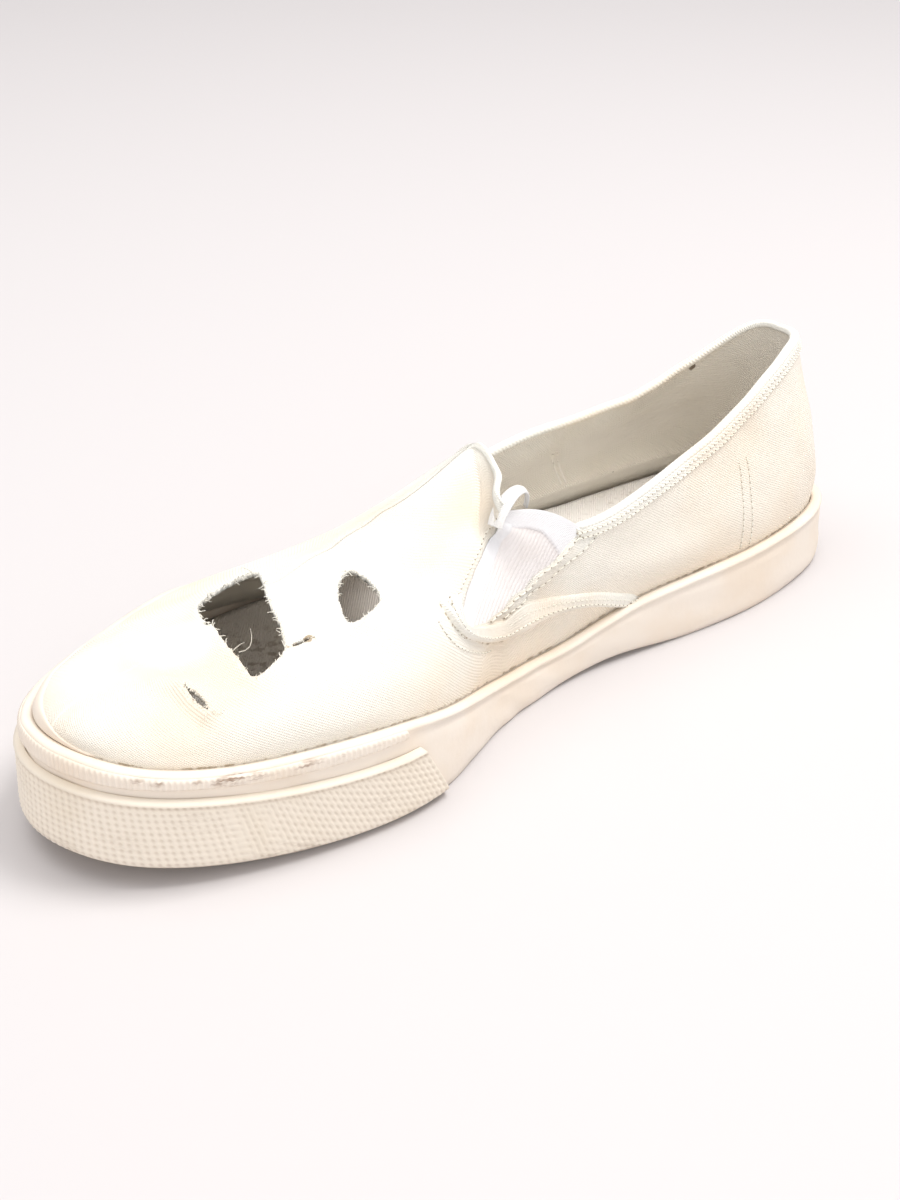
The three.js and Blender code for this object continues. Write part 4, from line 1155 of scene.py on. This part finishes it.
def fray(ring, count, reach, outwardShare, seed):  # cotton ends on the torn edge, each curling a little
    random = np.random.default_rng(seed)
    spots = ring[(random.random(count) * len(ring)).astype(int)]
    middle = ring.mean(0)
    heading = middle - spots
    heading /= np.linalg.norm(heading, axis=-1)[:, None]
    angle = random.normal(0, 0.7, count)
    turned = np.stack([heading[:, 0] * np.cos(angle) - heading[:, 1] * np.sin(angle),
                       heading[:, 0] * np.sin(angle) + heading[:, 1] * np.cos(angle)], -1)
    out = random.random(count) < outwardShare
    turned[out] *= -1
    size = reach * (0.35 + 0.65 * random.random(count)) * np.where(out, 0.5, 1)
    step = np.linspace(0, 1, frayed["steps"])
    base = np.stack([spots[:, 0], spots[:, 1], heightOn(spots)], -1)
    paths = np.zeros((count, frayed["steps"], 3))
    sway = random.normal(0, 0.35, (count, 1))
    side = np.stack([-turned[:, 1], turned[:, 0]], -1)
    forward = step[None] * size[:, None]
    bend = sway * size[:, None] * step[None] ** 2
    paths[..., :2] = base[:, None, :2] + turned[:, None] * forward[..., None] + side[:, None] * bend[..., None]
    lifted = random.normal(0.15, 0.35, (count, 1)) * size[:, None] * np.sin(step * 2.2)[None]
    arched = 0.35 * np.sin(step * np.pi)[None] * size[:, None]
    paths[..., 2] = base[:, 2:3] + np.where(out[:, None], arched, lifted)
    return paths


def pullRound(path):  # a smooth thread through a few spots
    return naturalCurve(path)(np.linspace(0, len(path) - 1, frayed["steps"]))


# threads round each hole, then the long ones that hang across it
threads = [fray(holeRings[0], 110, 1.9, 0.3, 11), fray(holeRings[1], 50, 1.6, 0.3, 12),
           fray(holeRings[2], 14, 1.2, 0.5, 13), fray(holeRings[3], 5, 0.9, 0.5, 14)]
longOnes = np.stack([
    pullRound([(233, 14, 44.5), (231, 15.5, 45.5), (229.5, 15, 47.5), (229, 14, 50)]),
    pullRound([(234, 12.5, 44.5), (232, 13, 45.8), (231.5, 14.5, 47)]),
    pullRound([(209, -12, 48.8), (211, -13.5, 50.2), (213, -12, 50.8)]),
    pullRound([(208.5, -10, 48.5), (210.5, -9, 50), (213, -10, 49.6)]),
    pullRound([(193, 11, 51), (194, 9.2, 52.4), (196.5, 9.4, 52.6)]),
    pullRound([(200, 25, 47.5), (202, 27, 48.6), (205, 27, 48)]),
    pullRound([(251.5, 26, 39.8), (250.5, 28, 40.8), (248.5, 28.5, 40.4)]),
    pullRound([(251.8, 26, 39.8), (253.5, 27.6, 40.4), (254, 29.4, 39.4)]),
    pullRound([(217, 23, 46.2), (215.8, 24, 47), (216.2, 25.2, 46.6)]),
])
allThreads = np.concatenate(threads + [longOnes])
threadRadii = np.linspace(1, frayed["thinEnd"], frayed["steps"]) * frayed["radius"]
finishPiece(rods("loose_threads", allThreads, threadRadii, 4), [threadCloth], "canvas")
stitchRadii = np.array([0.6, 1, 1, 1, 0.6]) * stitching["radius"]
finishPiece(rods("stitches", np.concatenate(stitchPaths), stitchRadii, 6), [threadCloth], "canvas")
# dark rods painted as the shade in the needle's holes
needleRadii = np.array([1, 0.8]) * stitching["hole"]
finishPiece(rods("needle_hole_shade", np.concatenate(holeShadePaths), needleRadii, 6), [needleShade], "canvas")
print("threads made")


# eye and aim in millimetres of the shoe's frame; lamps as place in metres, size and power
stage = dict(
    eye=(486.02, 376.79, 303.42), aim=(150.0, 2.0, 24.0), lens=60.0,
    floor=(0.64, 0.615, 0.62), reach=6.0, room=(1.0, 0.985, 0.99, 1), roomStrength=0.7,
    lampColour=(1.0, 0.985, 0.96),
    lamps=dict(
        key=((-0.45, 0.25, 1.25), 0.6, 12),
        top=((0.3, -0.4, 1.6), 1.2, 9),
        front=((0.9, 1.1, 0.6), 0.9, 4)),
)


def turnTo(holder, eye, aim):  # stands an object at eye and points it at aim
    holder.location = eye
    holder.rotation_euler = (aim - eye).to_track_quat("-Z", "Y").to_euler()
    bpy.context.scene.collection.objects.link(holder)


def makeStage():  # a pale floor, soft lamps all pointed at the shoe, and the camera
    floor = bpy.data.meshes.new("floor")
    reach = stage["reach"]
    floor.from_pydata([(-reach, -reach, 0), (reach, -reach, 0), (reach, reach, 0), (-reach, reach, 0)], [],
                      [(0, 1, 2, 3)])
    ground = bpy.data.objects.new("floor", floor)
    bpy.context.scene.collection.objects.link(ground)
    ground.data.materials.append(newMaterial("paleFloor", stage["floor"], 0.75)[0])
    world = bpy.data.worlds.new("room")
    world.use_nodes = True
    background = world.node_tree.nodes["Background"]
    background.inputs[0].default_value = stage["room"]
    background.inputs[1].default_value = stage["roomStrength"]
    bpy.context.scene.world = world
    for name, (at, size, power) in stage["lamps"].items():
        lamp = bpy.data.lights.new(name, "AREA")
        lamp.size = size
        lamp.energy = power
        lamp.color = stage["lampColour"]
        turnTo(bpy.data.objects.new(name, lamp), Vector(at), Vector((0, 0, 0)))
    camera = bpy.data.cameras.new("camera")
    camera.lens = stage["lens"]
    holder = bpy.data.objects.new("camera", camera)
    turnTo(holder, Vector(place(np.array(stage["eye"]))), Vector(place(np.array(stage["aim"]))))
    bpy.context.scene.camera = holder
    bpy.context.scene.view_settings.view_transform = "Standard"


makeStage()
print("stage made")
